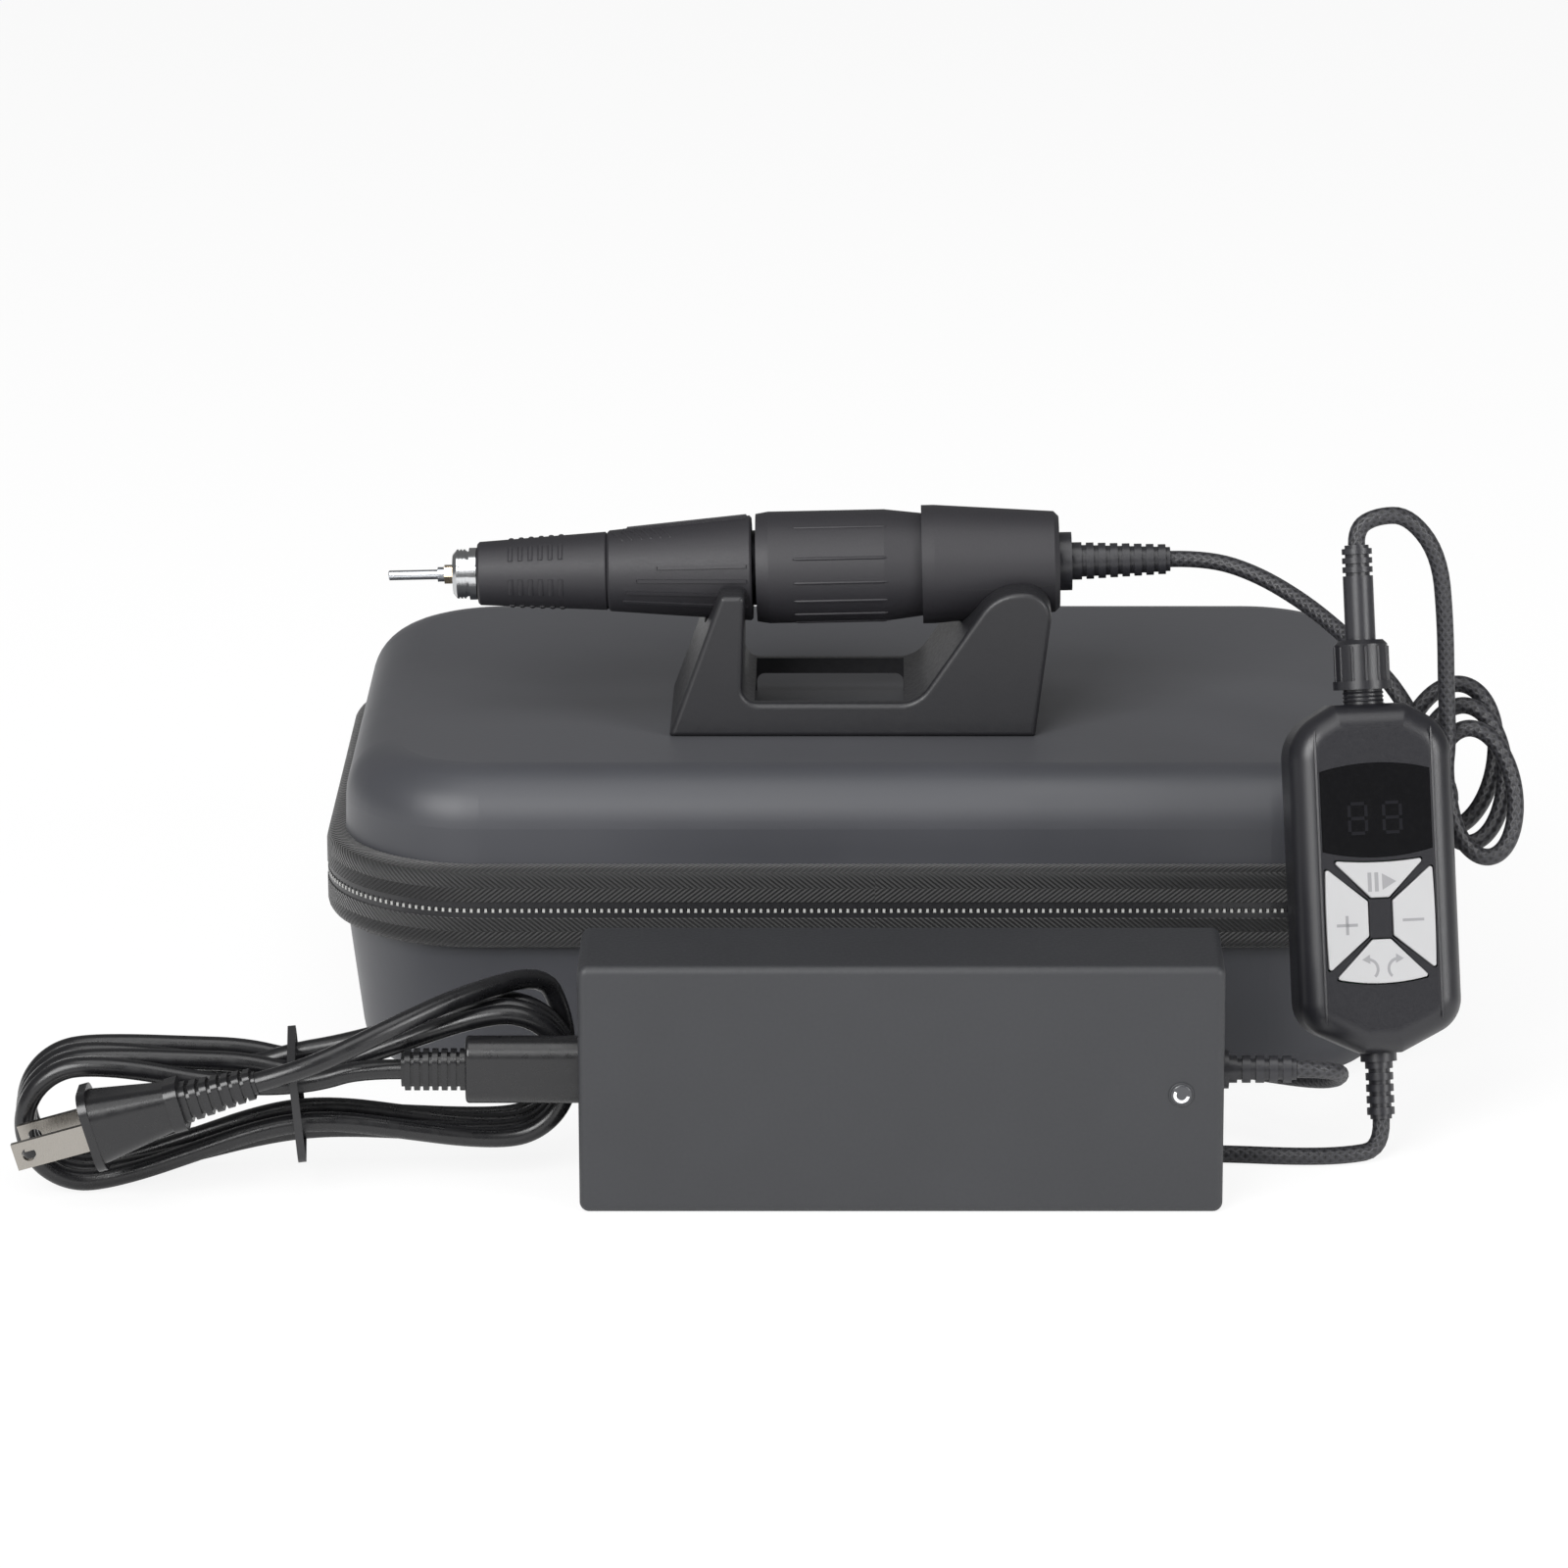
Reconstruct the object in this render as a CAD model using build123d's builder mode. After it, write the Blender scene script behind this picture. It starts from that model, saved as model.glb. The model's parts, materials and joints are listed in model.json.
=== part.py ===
"""Portable nail drill kit: a zipped carrying case with the handpiece in its cradle
on the lid, the in-line controller, the mains adapter and every cord between them.

Frame: origin at the centre of the case's flat underside, X along the case to the
right, Y to the back, Z up. Millimetres.
"""

import os
from math import cos, pi, radians, sin, tan

from build123d import *

os.makedirs("parts", exist_ok=True)

# Carrying case: driving dimensions
case_length = 262.0
case_depth = 175.0
case_corner = 38.0
zip_height = 47.0
lid_height = 31.0
shell_wall = 3.0
base_taper = 7.0
base_edge_radius = 10.0
lid_taper = 1.5
lid_edge_radius = 13.0
tape_width = 10.0
tape_proud = 4.6
tape_welt_radius = 3.0
closing_gap = 0.8
coil_width = 1.6
coil_height = 1.6
coil_recess = 0.3
slider_channel = 1.2
hinge_width = 110.0
hinge_run_clearance = 0.3

# Zip slider and pull
slider_length = 9.0
slider_width = 8.0
slider_plate = 1.2
slider_post = 0.4
slider_inner_plate = 0.6
slider_corner_gap = 6.5
bridge_reach = 2.6
bridge_width = 2.4
bridge_height = 4.6
pull_pin_radius = 0.7
pull_pin_clearance = 0.08
pull_arm = 1.2
pull_width = 6.4
pull_length = 27.0
pull_thickness = 1.3

# Cradle
cradle_length = 92.0
cradle_x = -49.2
cradle_depth = 44.0
cradle_y = -26.5
cradle_height = 35.4
cradle_wall = 3.0
cradle_skin = 2.2
cradle_edge = 1.0
cradle_rounding = 1.3
cradle_slot = 4.4
cradle_slot_corner = 2.0

# Handpiece: its axis leans down a little towards the nose
handpiece_tilt = 1.25
handpiece_x = 0.0
handpiece_rise = 36.6
nose_station = -101.2
grip_station = -95.5
sleeve_station = -64.0
sleeve_end = -29.4
cap_station = 11.3
cap_end = 44.2
gland_station = 47.2
boot_end = 70.8
shank_tip = -116.7
shank_radius = 1.175
shank_length = 44.0
collet_radius = 1.75
collet_reach = 3.7
nut_flats_radius = 2.35
nut_reach = 2.1
nose_radius = 6.25
nose_groove = 0.3
grip_front_radius = 7.6
grip_back_radius = 9.4
sleeve_front_radius = 9.7
sleeve_back_radius = 12.6
housing_radius = 13.4
housing_end_radius = 12.3
rear_cap_radius = 14.2
rear_cap_end_radius = 12.1
gland_radius = 7.0
boot_front_radius = 4.5
boot_tip_radius = 3.6
turning_gap = 0.3
running_fit = 0.04
seat_gap = 0.05
spindle_radius = 2.6
barrel_radius = 6.2
barrel_bore = 5.0
barrel_shoulder = 9.0
motor_bore_radius = 10.9
stator_inner_radius = 7.0
rotor_radius = 6.6
motor_length = 24.0
bearing_length = 4.0
rib_width = 0.8
rib_height = 0.4
sleeve_gap = 1.0
housing_front_wall = 3.0
housing_chamfer = 0.5
housing_lead = 3.0
barrel_flange = 4.5
cap_spigot = 5.5
cap_spigot_radius = 11.7
cap_lead = 3.0
cap_rounding = 1.2
cap_wall = 1.8
motor_end_gap = 0.5
nose_bore = 2.9
nose_front_radius = 4.7
nose_ring_radius = 5.9
nose_ring_start = 1.0
nose_ring_end = 3.4
nose_rings = 3
nose_neck = 0.6
nose_neck_radius = 5.4
nose_wall = 0.9
grip_chamfer = 0.5
rib_angles = (73.5, 90.0, 106.5, 123.0)
rib_insets = (11.7, 6.8, 4.3, 3.3)
rib_groups = 3
rib_end_inset = 0.8
rib_ramp = 0.5
front_bearing_station = -93.0
rear_bearing_station = -46.0
collet_grip_inset = 8.0
collet_slit = 0.3
collet_slit_length = 12.0
shank_chamfer = 0.2
boot_lead = 0.6
boot_ribs = 8
boot_rib_depth = 0.7
ring_share = 0.62

# Controller: its face leans back, and it is rolled and turned a little
controller_x = 115.5
controller_y = -121.3
controller_z = 68.0
controller_lean = 16.5
controller_roll = 2.5
controller_yaw = 6.0
controller_width = 37.8
controller_top = 37.6
controller_bottom = 42.9
controller_depth = 21.6
front_shell_depth = 11.0
controller_wall = 1.8
controller_edge = 6.0
shoulder_half = 8.5
shoulder_drop = 6.0
shoulder_radius = 11.0
foot_half = 4.6
foot_rise = 6.9
foot_radius = 8.5
window_half = 12.8
window_low = 4.0
window_high = 22.4
window_bow = 1.7
window_thickness = 1.4
fit_gap = 0.3
pad_drop = 11.7
pad_half_width = 12.4
pad_half_height = 13.6
pad_hub_width = 2.9
pad_hub_height = 4.8
pad_gap = 1.6
pad_corner = 0.5
pad_top_dip = 0.7
pad_bottom_bow = 1.3
pad_side_bow = 0.25
button_proud = 0.7
button_depth = 3.0
button_travel = 0.5
board_depth = 6.6
board_thickness = 1.2
board_half = 14.0
board_low = 34.0
board_high = 30.0
display_half = 10.5
display_height = 13.0
switch_size = 5.0
socket_radius = 4.5
socket_bore = 3.4
socket_reach = 4.2
socket_depth = 6.0
lock_nut_radius = 6.8
lock_nut_length = 11.4
lock_nut_flange = 2.0
lock_nut_grip_radius = 6.1
lock_nut_start = 41.0
plug_radius = 3.5
plug_end = 74.3
plug_rib_length = 8.4
controller_gland_radius = 4.2
controller_gland_disc = 2.0
controller_gland_tip = 58.2
controller_gland_tip_radius = 3.2
shoulder_lip = 1.5
controller_neck_radius = 3.0
window_seat = 0.1
display_gap = 0.4
switch_gap = 0.15
neck_collar = 1.2
lock_nut_rib = 0.8
lock_nut_ribs = 12
lock_nut_rib_inset = 1.6
plug_key_length = 2.6
plug_ribs = 4
plug_rib_depth = 0.7
gland_ribs = 5
gland_rib_depth = 0.7
led_length = 5.0
inlet_wall = 1.6
inlet_pin_radius = 1.1
inlet_pin_spacing = 8.6
inlet_pin_length = 7.0
inlet_fit = 0.15
relief_ribs = 7
relief_rib_depth = 0.9
strap_thickness = 1.0
tie_width = 1.8
screw_radius = 1.4
connector_edge = 0.8
plug_round_share = 0.3
plug_body_width = 15.6
plug_relief_width = 8.0
plug_relief_taper_share = 0.25
blade_hole_place = 3.4
screw_head_height = 1.6
window_proud = 0.1
button_edge = 0.3
plug_flange = 2.0
adapter_edge_share = 0.9
inner_edge_share = 0.4
inlet_round_share = 0.45
dc_gland_neck = 3.0
transformer_edge = 1.5
screw_head_radius = 2.4
screw_length = 8.0

# Adapter
adapter_length = 145.5
adapter_x = 5.9
adapter_y = -151.0
adapter_depth = 31.0
adapter_height = 58.5
adapter_wall = 2.2
adapter_edge = 2.2
led_inset = 9.65
led_z = 28.4
led_radius = 2.5
led_proud = 0.6
inlet_z = 29.2
inlet_width = 10.5
inlet_height = 18.0
inlet_depth = 14.0
dc_gland_radius = 4.4
dc_gland_disc = 1.6
dc_gland_length = 17.0
dc_gland_tip_radius = 3.1
board_gap = 4.0
transformer_length = 34.0
transformer_height = 30.0
transformer_depth = 17.0
capacitor_radius = 7.0
capacitor_length = 24.0

# Mains lead ends
connector_length = 26.0
connector_height = 15.4
connector_width = 9.6
connector_relief = 14.6
connector_relief_height = 9.6
connector_relief_width = 6.4
connector_pocket = 6.0
plug_tip = (-193.4, -165.5, 15.4)
plug_tail = (-139.2, -165.5, 30.9)
blade_length = 17.0
blade_width = 6.3
blade_thickness = 1.5
blade_spacing = 12.7
blade_root = 3.0
blade_hole_radius = 1.6
plug_face = 2.0
plug_face_height = 18.8
plug_face_width = 16.0
plug_body_length = 20.0
plug_body_height = 15.8
plug_relief_height = 8.8
plug_waist_height = 10.4
plug_waist_width = 10.4
plug_collar = 3.0
plug_collar_height = 11.6
plug_collar_width = 11.0

# Cords
cord_radius = 2.0
lead_radius = 2.3
split_gap = 0.3
lead_out = 9.0
plug_lead_out = 4.0
gland_lead_out = 7.0
dc_lead_out = 6.0
near_radii = 6
bend_share = 0.45
bundle_x = 131.0
bundle_y = -103.5
bundle_z = 52.0
bundle_quarters = 14
bundle_first = 0.5
bundle_start_centre = (2.0, 40.0)
bundle_end_centre = (11.0, 25.0)
bundle_start_half = (10.5, 17.0)
bundle_end_half = (8.0, 13.5)
bundle_start_tilt = 20.0
bundle_end_tilt = -12.0
bundle_back = -20.9
bundle_pitch = 5.0
dc_coil_x = 18.0
dc_coil_y = -108.3
dc_coil_floor = 2.05
dc_coil_outer = 24.5
dc_coil_layers = 4
dc_coil_spiral_quarters = 5
dc_coil_pitch = 5.1
dc_coil_rise = 4.6
hank_x = -132.0
hank_y = -143.0
hank_z = 20.9
hank_rise = 5.0
hank_turn = 4.0
hank_left = 62.0
hank_right = 62.0
hank_left_half = 13.9
hank_right_half = 14.5
hank_waists = (8.8, 5.4)
hank_pitch = 5.1
hank_front = 7.6
hank_lift = 4.5
tie_front = 15.4
flat_turn = 0.0001
quarter_step = 0.01


# Case shells: a moulded base and lid, open towards each other at the zip
lid_top = zip_height + lid_height
handpiece_z = lid_top + handpiece_rise
slider_rest_y = case_depth / 2 - case_corner - slider_corner_gap
shell_length = case_length - 2 * tape_proud
shell_depth = case_depth - 2 * tape_proud
shell_corner = case_corner - tape_proud
inner_length = shell_length - 2 * shell_wall
inner_depth = shell_depth - 2 * shell_wall
inner_corner = shell_corner - shell_wall
base_rim = zip_height - tape_width
lid_rim = zip_height + tape_width
half_gap = closing_gap / 2
overrun = 2.0

rim_down = Plane(origin=(0, 0, base_rim), x_dir=(1, 0, 0), z_dir=(0, 0, -1))
rim_up = Plane.XY.offset(lid_rim)

with BuildPart() as base_cavity:
    with BuildSketch(rim_down):
        RectangleRounded(inner_length, inner_depth, inner_corner)
    extrude(amount=base_rim - shell_wall, taper=base_taper)
    fillet(base_cavity.faces().sort_by(Axis.Z)[0].edges(), base_edge_radius - shell_wall)

with BuildPart() as lid_cavity:
    with BuildSketch(rim_up):
        RectangleRounded(inner_length, inner_depth, inner_corner)
    extrude(amount=lid_top - lid_rim - shell_wall, taper=lid_taper)
    fillet(lid_cavity.faces().sort_by(Axis.Z)[-1].edges(), lid_edge_radius - shell_wall)

with BuildPart() as base_shell:
    with BuildSketch(rim_down):
        RectangleRounded(shell_length, shell_depth, shell_corner)
    extrude(amount=base_rim, taper=base_taper)
    fillet(base_shell.faces().sort_by(Axis.Z)[0].edges(), base_edge_radius)
    with BuildSketch(Plane.XY.offset(base_rim)):
        RectangleRounded(shell_length, shell_depth, shell_corner)
    extrude(amount=tape_width - half_gap)
    add(base_cavity.part, mode=Mode.SUBTRACT)
    with BuildSketch(Plane.XY.offset(base_rim)):
        RectangleRounded(inner_length, inner_depth, inner_corner)
    extrude(amount=tape_width, mode=Mode.SUBTRACT)
base_shell.part.label = "base_shell"
export_step(base_shell.part, "parts/base_shell.step")

with BuildPart() as lid_shell:
    with BuildSketch(rim_up):
        RectangleRounded(shell_length, shell_depth, shell_corner)
    extrude(amount=lid_top - lid_rim, taper=lid_taper)
    fillet(lid_shell.faces().sort_by(Axis.Z)[-1].edges(), lid_edge_radius)
    with BuildSketch(Plane.XY.offset(zip_height + half_gap)):
        RectangleRounded(shell_length, shell_depth, shell_corner)
    extrude(amount=tape_width - half_gap)
    with BuildSketch(Plane.XY.offset(zip_height)):
        RectangleRounded(inner_length, inner_depth, inner_corner)
    extrude(amount=lid_rim - zip_height, mode=Mode.SUBTRACT)
    add(lid_cavity.part, mode=Mode.SUBTRACT)
lid_shell.part.label = "lid_shell"
export_step(lid_shell.part, "parts/lid_shell.step")

# Zip tapes: a rounded welt round each rim, with a step where the coil sits
welt_height = tape_width - half_gap - coil_height
web_inset = coil_recess + coil_width + slider_channel
hinge_depth = tape_proud + overrun
hinge_y = case_depth / 2 + overrun - hinge_depth / 2


def zip_tape(side):
    """One zip tape, below the teeth for side -1 and above them for side 1."""
    start = Plane(origin=(0, 0, zip_height + side * tape_width), x_dir=(1, 0, 0), z_dir=(0, 0, -side))
    with BuildPart() as tape:
        with BuildSketch(start):
            RectangleRounded(case_length, case_depth, case_corner)
        extrude(amount=welt_height)
        outer_face = tape.faces().sort_by(Axis.Z)[0 if side < 0 else -1]
        fillet(outer_face.edges(), tape_welt_radius)
        with BuildSketch(start.offset(welt_height)):
            RectangleRounded(
                case_length - 2 * web_inset, case_depth - 2 * web_inset, case_corner - web_inset
            )
        extrude(amount=coil_height)
        with BuildSketch(start):
            RectangleRounded(shell_length, shell_depth, shell_corner)
        extrude(amount=tape_width, mode=Mode.SUBTRACT)
        with BuildSketch(start):
            with Locations((0, -side * hinge_y)):
                Rectangle(hinge_width, hinge_depth)
        extrude(amount=tape_width, mode=Mode.SUBTRACT)
    return tape.part


with BuildPart() as zip_tape_lower:
    add(zip_tape(-1))
zip_tape_lower.part.label = "zip_tape_lower"
export_step(zip_tape_lower.part, "parts/zip_tape_lower.step")

with BuildPart() as zip_tape_upper:
    add(zip_tape(1))
zip_tape_upper.part.label = "zip_tape_upper"
export_step(zip_tape_upper.part, "parts/zip_tape_upper.step")


# Zip coils: the two rows of teeth, each on the step of its own tape
def zip_coil(side):
    """One row of teeth as a plain ring, below the zip line for side -1 and above it for side 1."""
    start = Plane(origin=(0, 0, zip_height + side * half_gap), x_dir=(1, 0, 0), z_dir=(0, 0, side))
    with BuildPart() as coil:
        with BuildSketch(start):
            RectangleRounded(
                case_length - 2 * coil_recess, case_depth - 2 * coil_recess, case_corner - coil_recess
            )
            coil_inset = coil_recess + coil_width
            RectangleRounded(
                case_length - 2 * coil_inset,
                case_depth - 2 * coil_inset,
                case_corner - coil_inset,
                mode=Mode.SUBTRACT,
            )
            with Locations((0, side * hinge_y)):
                Rectangle(hinge_width, hinge_depth, mode=Mode.SUBTRACT)
        extrude(amount=coil_height)
    return coil.part


with BuildPart() as zip_coil_lower:
    add(zip_coil(-1))
zip_coil_lower.part.label = "zip_coil_lower"
export_step(zip_coil_lower.part, "parts/zip_coil_lower.step")

with BuildPart() as zip_coil_upper:
    add(zip_coil(1))
zip_coil_upper.part.label = "zip_coil_upper"
export_step(zip_coil_upper.part, "parts/zip_coil_upper.step")


# Hinge strip: the flexible back band, whose two halves meet at the fold line
hinge_strip_width = hinge_width - 2 * hinge_run_clearance


def hinge_strip(side):
    """One half of the back band, on the base for side -1 and on the lid for side 1."""
    start = Plane(origin=(0, 0, zip_height + side * half_gap), x_dir=(1, 0, 0), z_dir=(0, 0, side))
    with BuildPart() as strip:
        with BuildSketch(start):
            with Locations((0, side * (case_depth - tape_proud) / 2)):
                Rectangle(hinge_strip_width, tape_proud)
        extrude(amount=tape_width - half_gap)
        outer_edge = strip.edges().filter_by(Axis.X).sort_by(Axis.Y)[-2:].sort_by(Axis.Z)
        fillet(outer_edge[0 if side < 0 else -1], tape_welt_radius)
    return strip.part


with BuildPart() as hinge_strip_lower:
    add(hinge_strip(-1))
hinge_strip_lower.part.label = "hinge_strip_lower"
export_step(hinge_strip_lower.part, "parts/hinge_strip_lower.step")

with BuildPart() as hinge_strip_upper:
    add(hinge_strip(1))
hinge_strip_upper.part.label = "hinge_strip_upper"
export_step(hinge_strip_upper.part, "parts/hinge_strip_upper.step")

# Zip slider: an outer and an inner plate either side of the coils, joined between them
side_x = case_length / 2
plate_x = side_x + fit_gap
channel_outer_x = side_x - coil_recess - coil_width
channel_middle_x = channel_outer_x - slider_channel / 2
inner_plate_height = 2 * (half_gap + coil_height - fit_gap)

with BuildPart() as zip_slider:
    with BuildSketch(Plane.YZ.offset(plate_x)):
        with Locations((slider_rest_y, zip_height)):
            RectangleRounded(slider_length, slider_width, slider_width / 4)
    extrude(amount=slider_plate)
    with BuildSketch(Plane.YZ.offset(channel_middle_x)):
        with Locations((slider_rest_y, zip_height)):
            Rectangle(slider_length / 2, slider_post)
    extrude(amount=plate_x - channel_middle_x)
    with BuildSketch(Plane.YZ.offset(channel_middle_x - slider_inner_plate / 2)):
        with Locations((slider_rest_y, zip_height)):
            Rectangle(slider_length, inner_plate_height)
    extrude(amount=slider_inner_plate)
    with BuildSketch(Plane.YZ.offset(plate_x + slider_plate)):
        with Locations((slider_rest_y, zip_height)):
            Rectangle(bridge_width, bridge_height)
    extrude(amount=bridge_reach)
    pin_x = plate_x + slider_plate + bridge_reach / 2
    with BuildSketch(Plane.XZ.offset(-slider_rest_y)):
        with Locations((pin_x, zip_height)):
            Circle(pull_pin_radius + pull_pin_clearance)
    extrude(amount=bridge_width, both=True, mode=Mode.SUBTRACT)
zip_slider.part.label = "zip_slider"
export_step(zip_slider.part, "parts/zip_slider.step")

# Zip pull: a tab that hangs from a pin through the slider's bridge
pull_top = zip_height - bridge_height / 2 - fit_gap
pull_gap_half = bridge_width / 2 + fit_gap

with BuildPart() as zip_pull:
    with BuildSketch(Plane.XZ.offset(-slider_rest_y)):
        with Locations((pin_x, zip_height)):
            Circle(pull_pin_radius)
    extrude(amount=pull_gap_half + pull_arm, both=True)
    for arm_side in (-1, 1):
        with BuildSketch(Plane.XZ.offset(-slider_rest_y - arm_side * (pull_gap_half + pull_arm / 2))):
            with Locations((pin_x, (zip_height + pull_top) / 2)):
                Rectangle(pull_thickness, zip_height - pull_top + 2 * pull_pin_radius)
        extrude(amount=pull_arm / 2, both=True)
    with BuildSketch(Plane.YZ.offset(pin_x - pull_thickness / 2)):
        with Locations((slider_rest_y, pull_top - pull_length / 2)):
            RectangleRounded(pull_width, pull_length, pull_width / 4)
    extrude(amount=pull_thickness)
zip_pull.part.label = "zip_pull"
export_step(zip_pull.part, "parts/zip_pull.step")

# Handpiece axis: from the nose to the cord, with its own plane for turned profiles
tilt = radians(handpiece_tilt)
handpiece_plane = Plane(
    origin=(handpiece_x, cradle_y, handpiece_z), x_dir=(cos(tilt), 0, sin(tilt)), z_dir=(0, -1, 0)
)
handpiece_axis = Axis(handpiece_plane.origin, handpiece_plane.x_dir)


def handpiece_turned(angle):
    """The handpiece's plane, turned about its axis by an angle in degrees."""
    swing = radians(angle)
    normal = handpiece_plane.z_dir * cos(swing) - handpiece_plane.y_dir * sin(swing)
    return Plane(origin=handpiece_plane.origin, x_dir=handpiece_plane.x_dir, z_dir=normal)


# Cradle: two hollow posts joined by a low rail at the front and back
cradle_back = Plane(
    origin=(cradle_x, cradle_y + cradle_depth / 2, lid_top), x_dir=(1, 0, 0), z_dir=(0, -1, 0)
)
cradle_outline_shares = [
    (0.0, 0.0),
    (0.136, 0.977),
    (0.199, 0.977),
    (0.190, 0.232),
    (0.643, 0.232),
    (0.845, 1.0),
    (1.0, 1.0),
    (0.950, 0.0),
]
cradle_radius_shares = [0.006, 0.013, 0.013, 0.040, 0.090, 0.120, 0.070, 0.006]
cradle_points = [(x * cradle_length, z * cradle_height) for x, z in cradle_outline_shares]
cradle_radii = [share * cradle_length for share in cradle_radius_shares]
rail_start = cradle_points[3][0]
rail_end = cradle_points[4][0]
rail_top = cradle_points[3][1]
trough_start = cradle_x - cradle_edge
trough_end = cradle_x + cradle_length + cradle_edge
trough_middle = cap_station - cradle_wall


def trough(extra):
    """The space that the handpiece lies in, grown by extra."""
    gap = fit_gap + extra
    with BuildPart() as space:
        with BuildSketch(handpiece_plane):
            with BuildLine():
                Polyline(
                    (trough_start, 0),
                    (trough_start, sleeve_back_radius + gap),
                    (sleeve_end, sleeve_back_radius + gap),
                    (sleeve_end, rear_cap_radius + gap),
                    (trough_middle, rear_cap_radius + gap),
                    (cap_station, rear_cap_radius + gap),
                    (cap_end, rear_cap_end_radius + gap),
                    (trough_end, rear_cap_end_radius + gap),
                    (trough_end, 0),
                    close=True,
                )
            make_face()
        revolve(axis=handpiece_axis)
    return space.part


cradle_inset = cradle_skin + cradle_edge
round_above = lid_top + cradle_rounding

with BuildPart() as cradle_cavity:
    with BuildSketch(cradle_back.offset(cradle_wall)):
        with BuildLine():
            FilletPolyline(*cradle_points, radius=cradle_radii, close=True)
        make_face()
        offset(amount=-cradle_skin)
    extrude(amount=cradle_depth - 2 * cradle_wall)
    with BuildSketch(cradle_back.offset(cradle_wall)):
        with Locations((cradle_points[-1][0] / 2, 0)):
            Rectangle(cradle_points[-1][0] - 2 * cradle_inset, 2 * cradle_inset)
    extrude(amount=cradle_depth - 2 * cradle_wall)
    add(trough(cradle_skin), mode=Mode.SUBTRACT)

with BuildPart() as cradle:
    with BuildSketch(cradle_back):
        with BuildLine():
            FilletPolyline(*cradle_points, radius=cradle_radii, close=True)
        make_face()
    extrude(amount=cradle_depth)
    sides = cradle.faces().filter_by(Axis.Y)
    fillet(sides.edges().filter_by(lambda edge: edge.center().Z > round_above), cradle_rounding)
    add(trough(0), mode=Mode.SUBTRACT)
    with BuildSketch(cradle_back.offset(cradle_wall)):
        with Locations(((rail_start + rail_end) / 2, rail_top / 2)):
            Rectangle(rail_end - rail_start - 2 * cradle_wall, 2 * rail_top)
    extrude(amount=cradle_depth - 2 * cradle_wall, mode=Mode.SUBTRACT)
    with BuildSketch(cradle_back):
        with Locations(((rail_start + rail_end) / 2, 0)):
            RectangleRounded(rail_end - rail_start - 2 * cradle_wall, 2 * cradle_slot, cradle_slot_corner)
    extrude(amount=cradle_wall, mode=Mode.SUBTRACT)
    add(cradle_cavity.part, mode=Mode.SUBTRACT)
cradle.part.label = "cradle"
export_step(cradle.part, "parts/cradle.step")


# Turned pieces: a profile of stations along the handpiece and radii
def turned(points, base, axis):
    """A solid turned about axis from a closed profile drawn on base."""
    with BuildPart() as piece:
        with BuildSketch(base):
            with BuildLine():
                Polyline(*points, close=True)
            make_face()
        revolve(axis=axis)
    return piece.part


def ribbed(start, end, start_radius, end_radius, count, depth):
    """Profile points from start to end with count rings that stand out by depth."""
    points = []
    pitch = (end - start) / count
    for i in range(count):
        low = start + i * pitch
        radius = start_radius + (end_radius - start_radius) * i / (count - 1)
        points += [
            (low, radius),
            (low + pitch * ring_share, radius),
            (low + pitch * ring_share, radius - depth),
            (low + pitch, radius - depth),
        ]
    return points


# Handpiece: the barrel that carries the spindle, and the motor housing behind it
housing_front = sleeve_end + sleeve_gap
spigot_end = housing_front + housing_front_wall
flange_start = housing_front - barrel_flange
cap_spigot_end = cap_station + cap_spigot
bearing_radius = barrel_bore - seat_gap
motor_start = spigot_end + motor_end_gap
motor_end = motor_start + motor_length
bell_start = motor_end + motor_end_gap
bell_end = bell_start + bearing_length + 2 * seat_gap

with BuildPart() as spindle_barrel:
    add(
        turned(
            [
                (grip_station, barrel_bore),
                (grip_station, barrel_radius),
                (flange_start, barrel_radius),
                (flange_start, barrel_shoulder),
                (housing_front, barrel_shoulder),
                (housing_front, barrel_radius),
                (spigot_end, barrel_radius),
                (spigot_end, barrel_bore),
            ],
            handpiece_plane,
            handpiece_axis,
        )
    )
spindle_barrel.part.label = "spindle_barrel"
export_step(spindle_barrel.part, "parts/spindle_barrel.step")

with BuildPart() as motor_housing:
    add(
        turned(
            [
                (housing_front, barrel_radius + seat_gap),
                (housing_front, housing_radius - housing_chamfer),
                (housing_front + housing_lead, housing_radius),
                (cap_station - 3 * housing_lead, housing_radius),
                (cap_station, housing_end_radius),
                (cap_station, cap_spigot_radius),
                (cap_spigot_end, cap_spigot_radius),
                (cap_spigot_end, motor_bore_radius),
                (spigot_end, motor_bore_radius),
                (spigot_end, barrel_radius + seat_gap),
            ],
            handpiece_plane,
            handpiece_axis,
        )
    )
motor_housing.part.label = "motor_housing"
export_step(motor_housing.part, "parts/motor_housing.step")

with BuildPart() as rear_cap:
    add(
        turned(
            [
                (cap_station, cap_spigot_radius + seat_gap),
                (cap_station, rear_cap_radius),
                (cap_station + cap_lead, rear_cap_radius),
                (cap_end - cap_rounding, rear_cap_end_radius),
                (cap_end, rear_cap_end_radius - cap_rounding),
                (cap_end, boot_front_radius),
                (cap_end - cap_wall, boot_front_radius),
                (cap_end - cap_wall, rear_cap_end_radius - cap_wall),
                (cap_spigot_end, cap_spigot_radius + seat_gap),
            ],
            handpiece_plane,
            handpiece_axis,
        )
    )
rear_cap.part.label = "rear_cap"
export_step(rear_cap.part, "parts/rear_cap.step")

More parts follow.
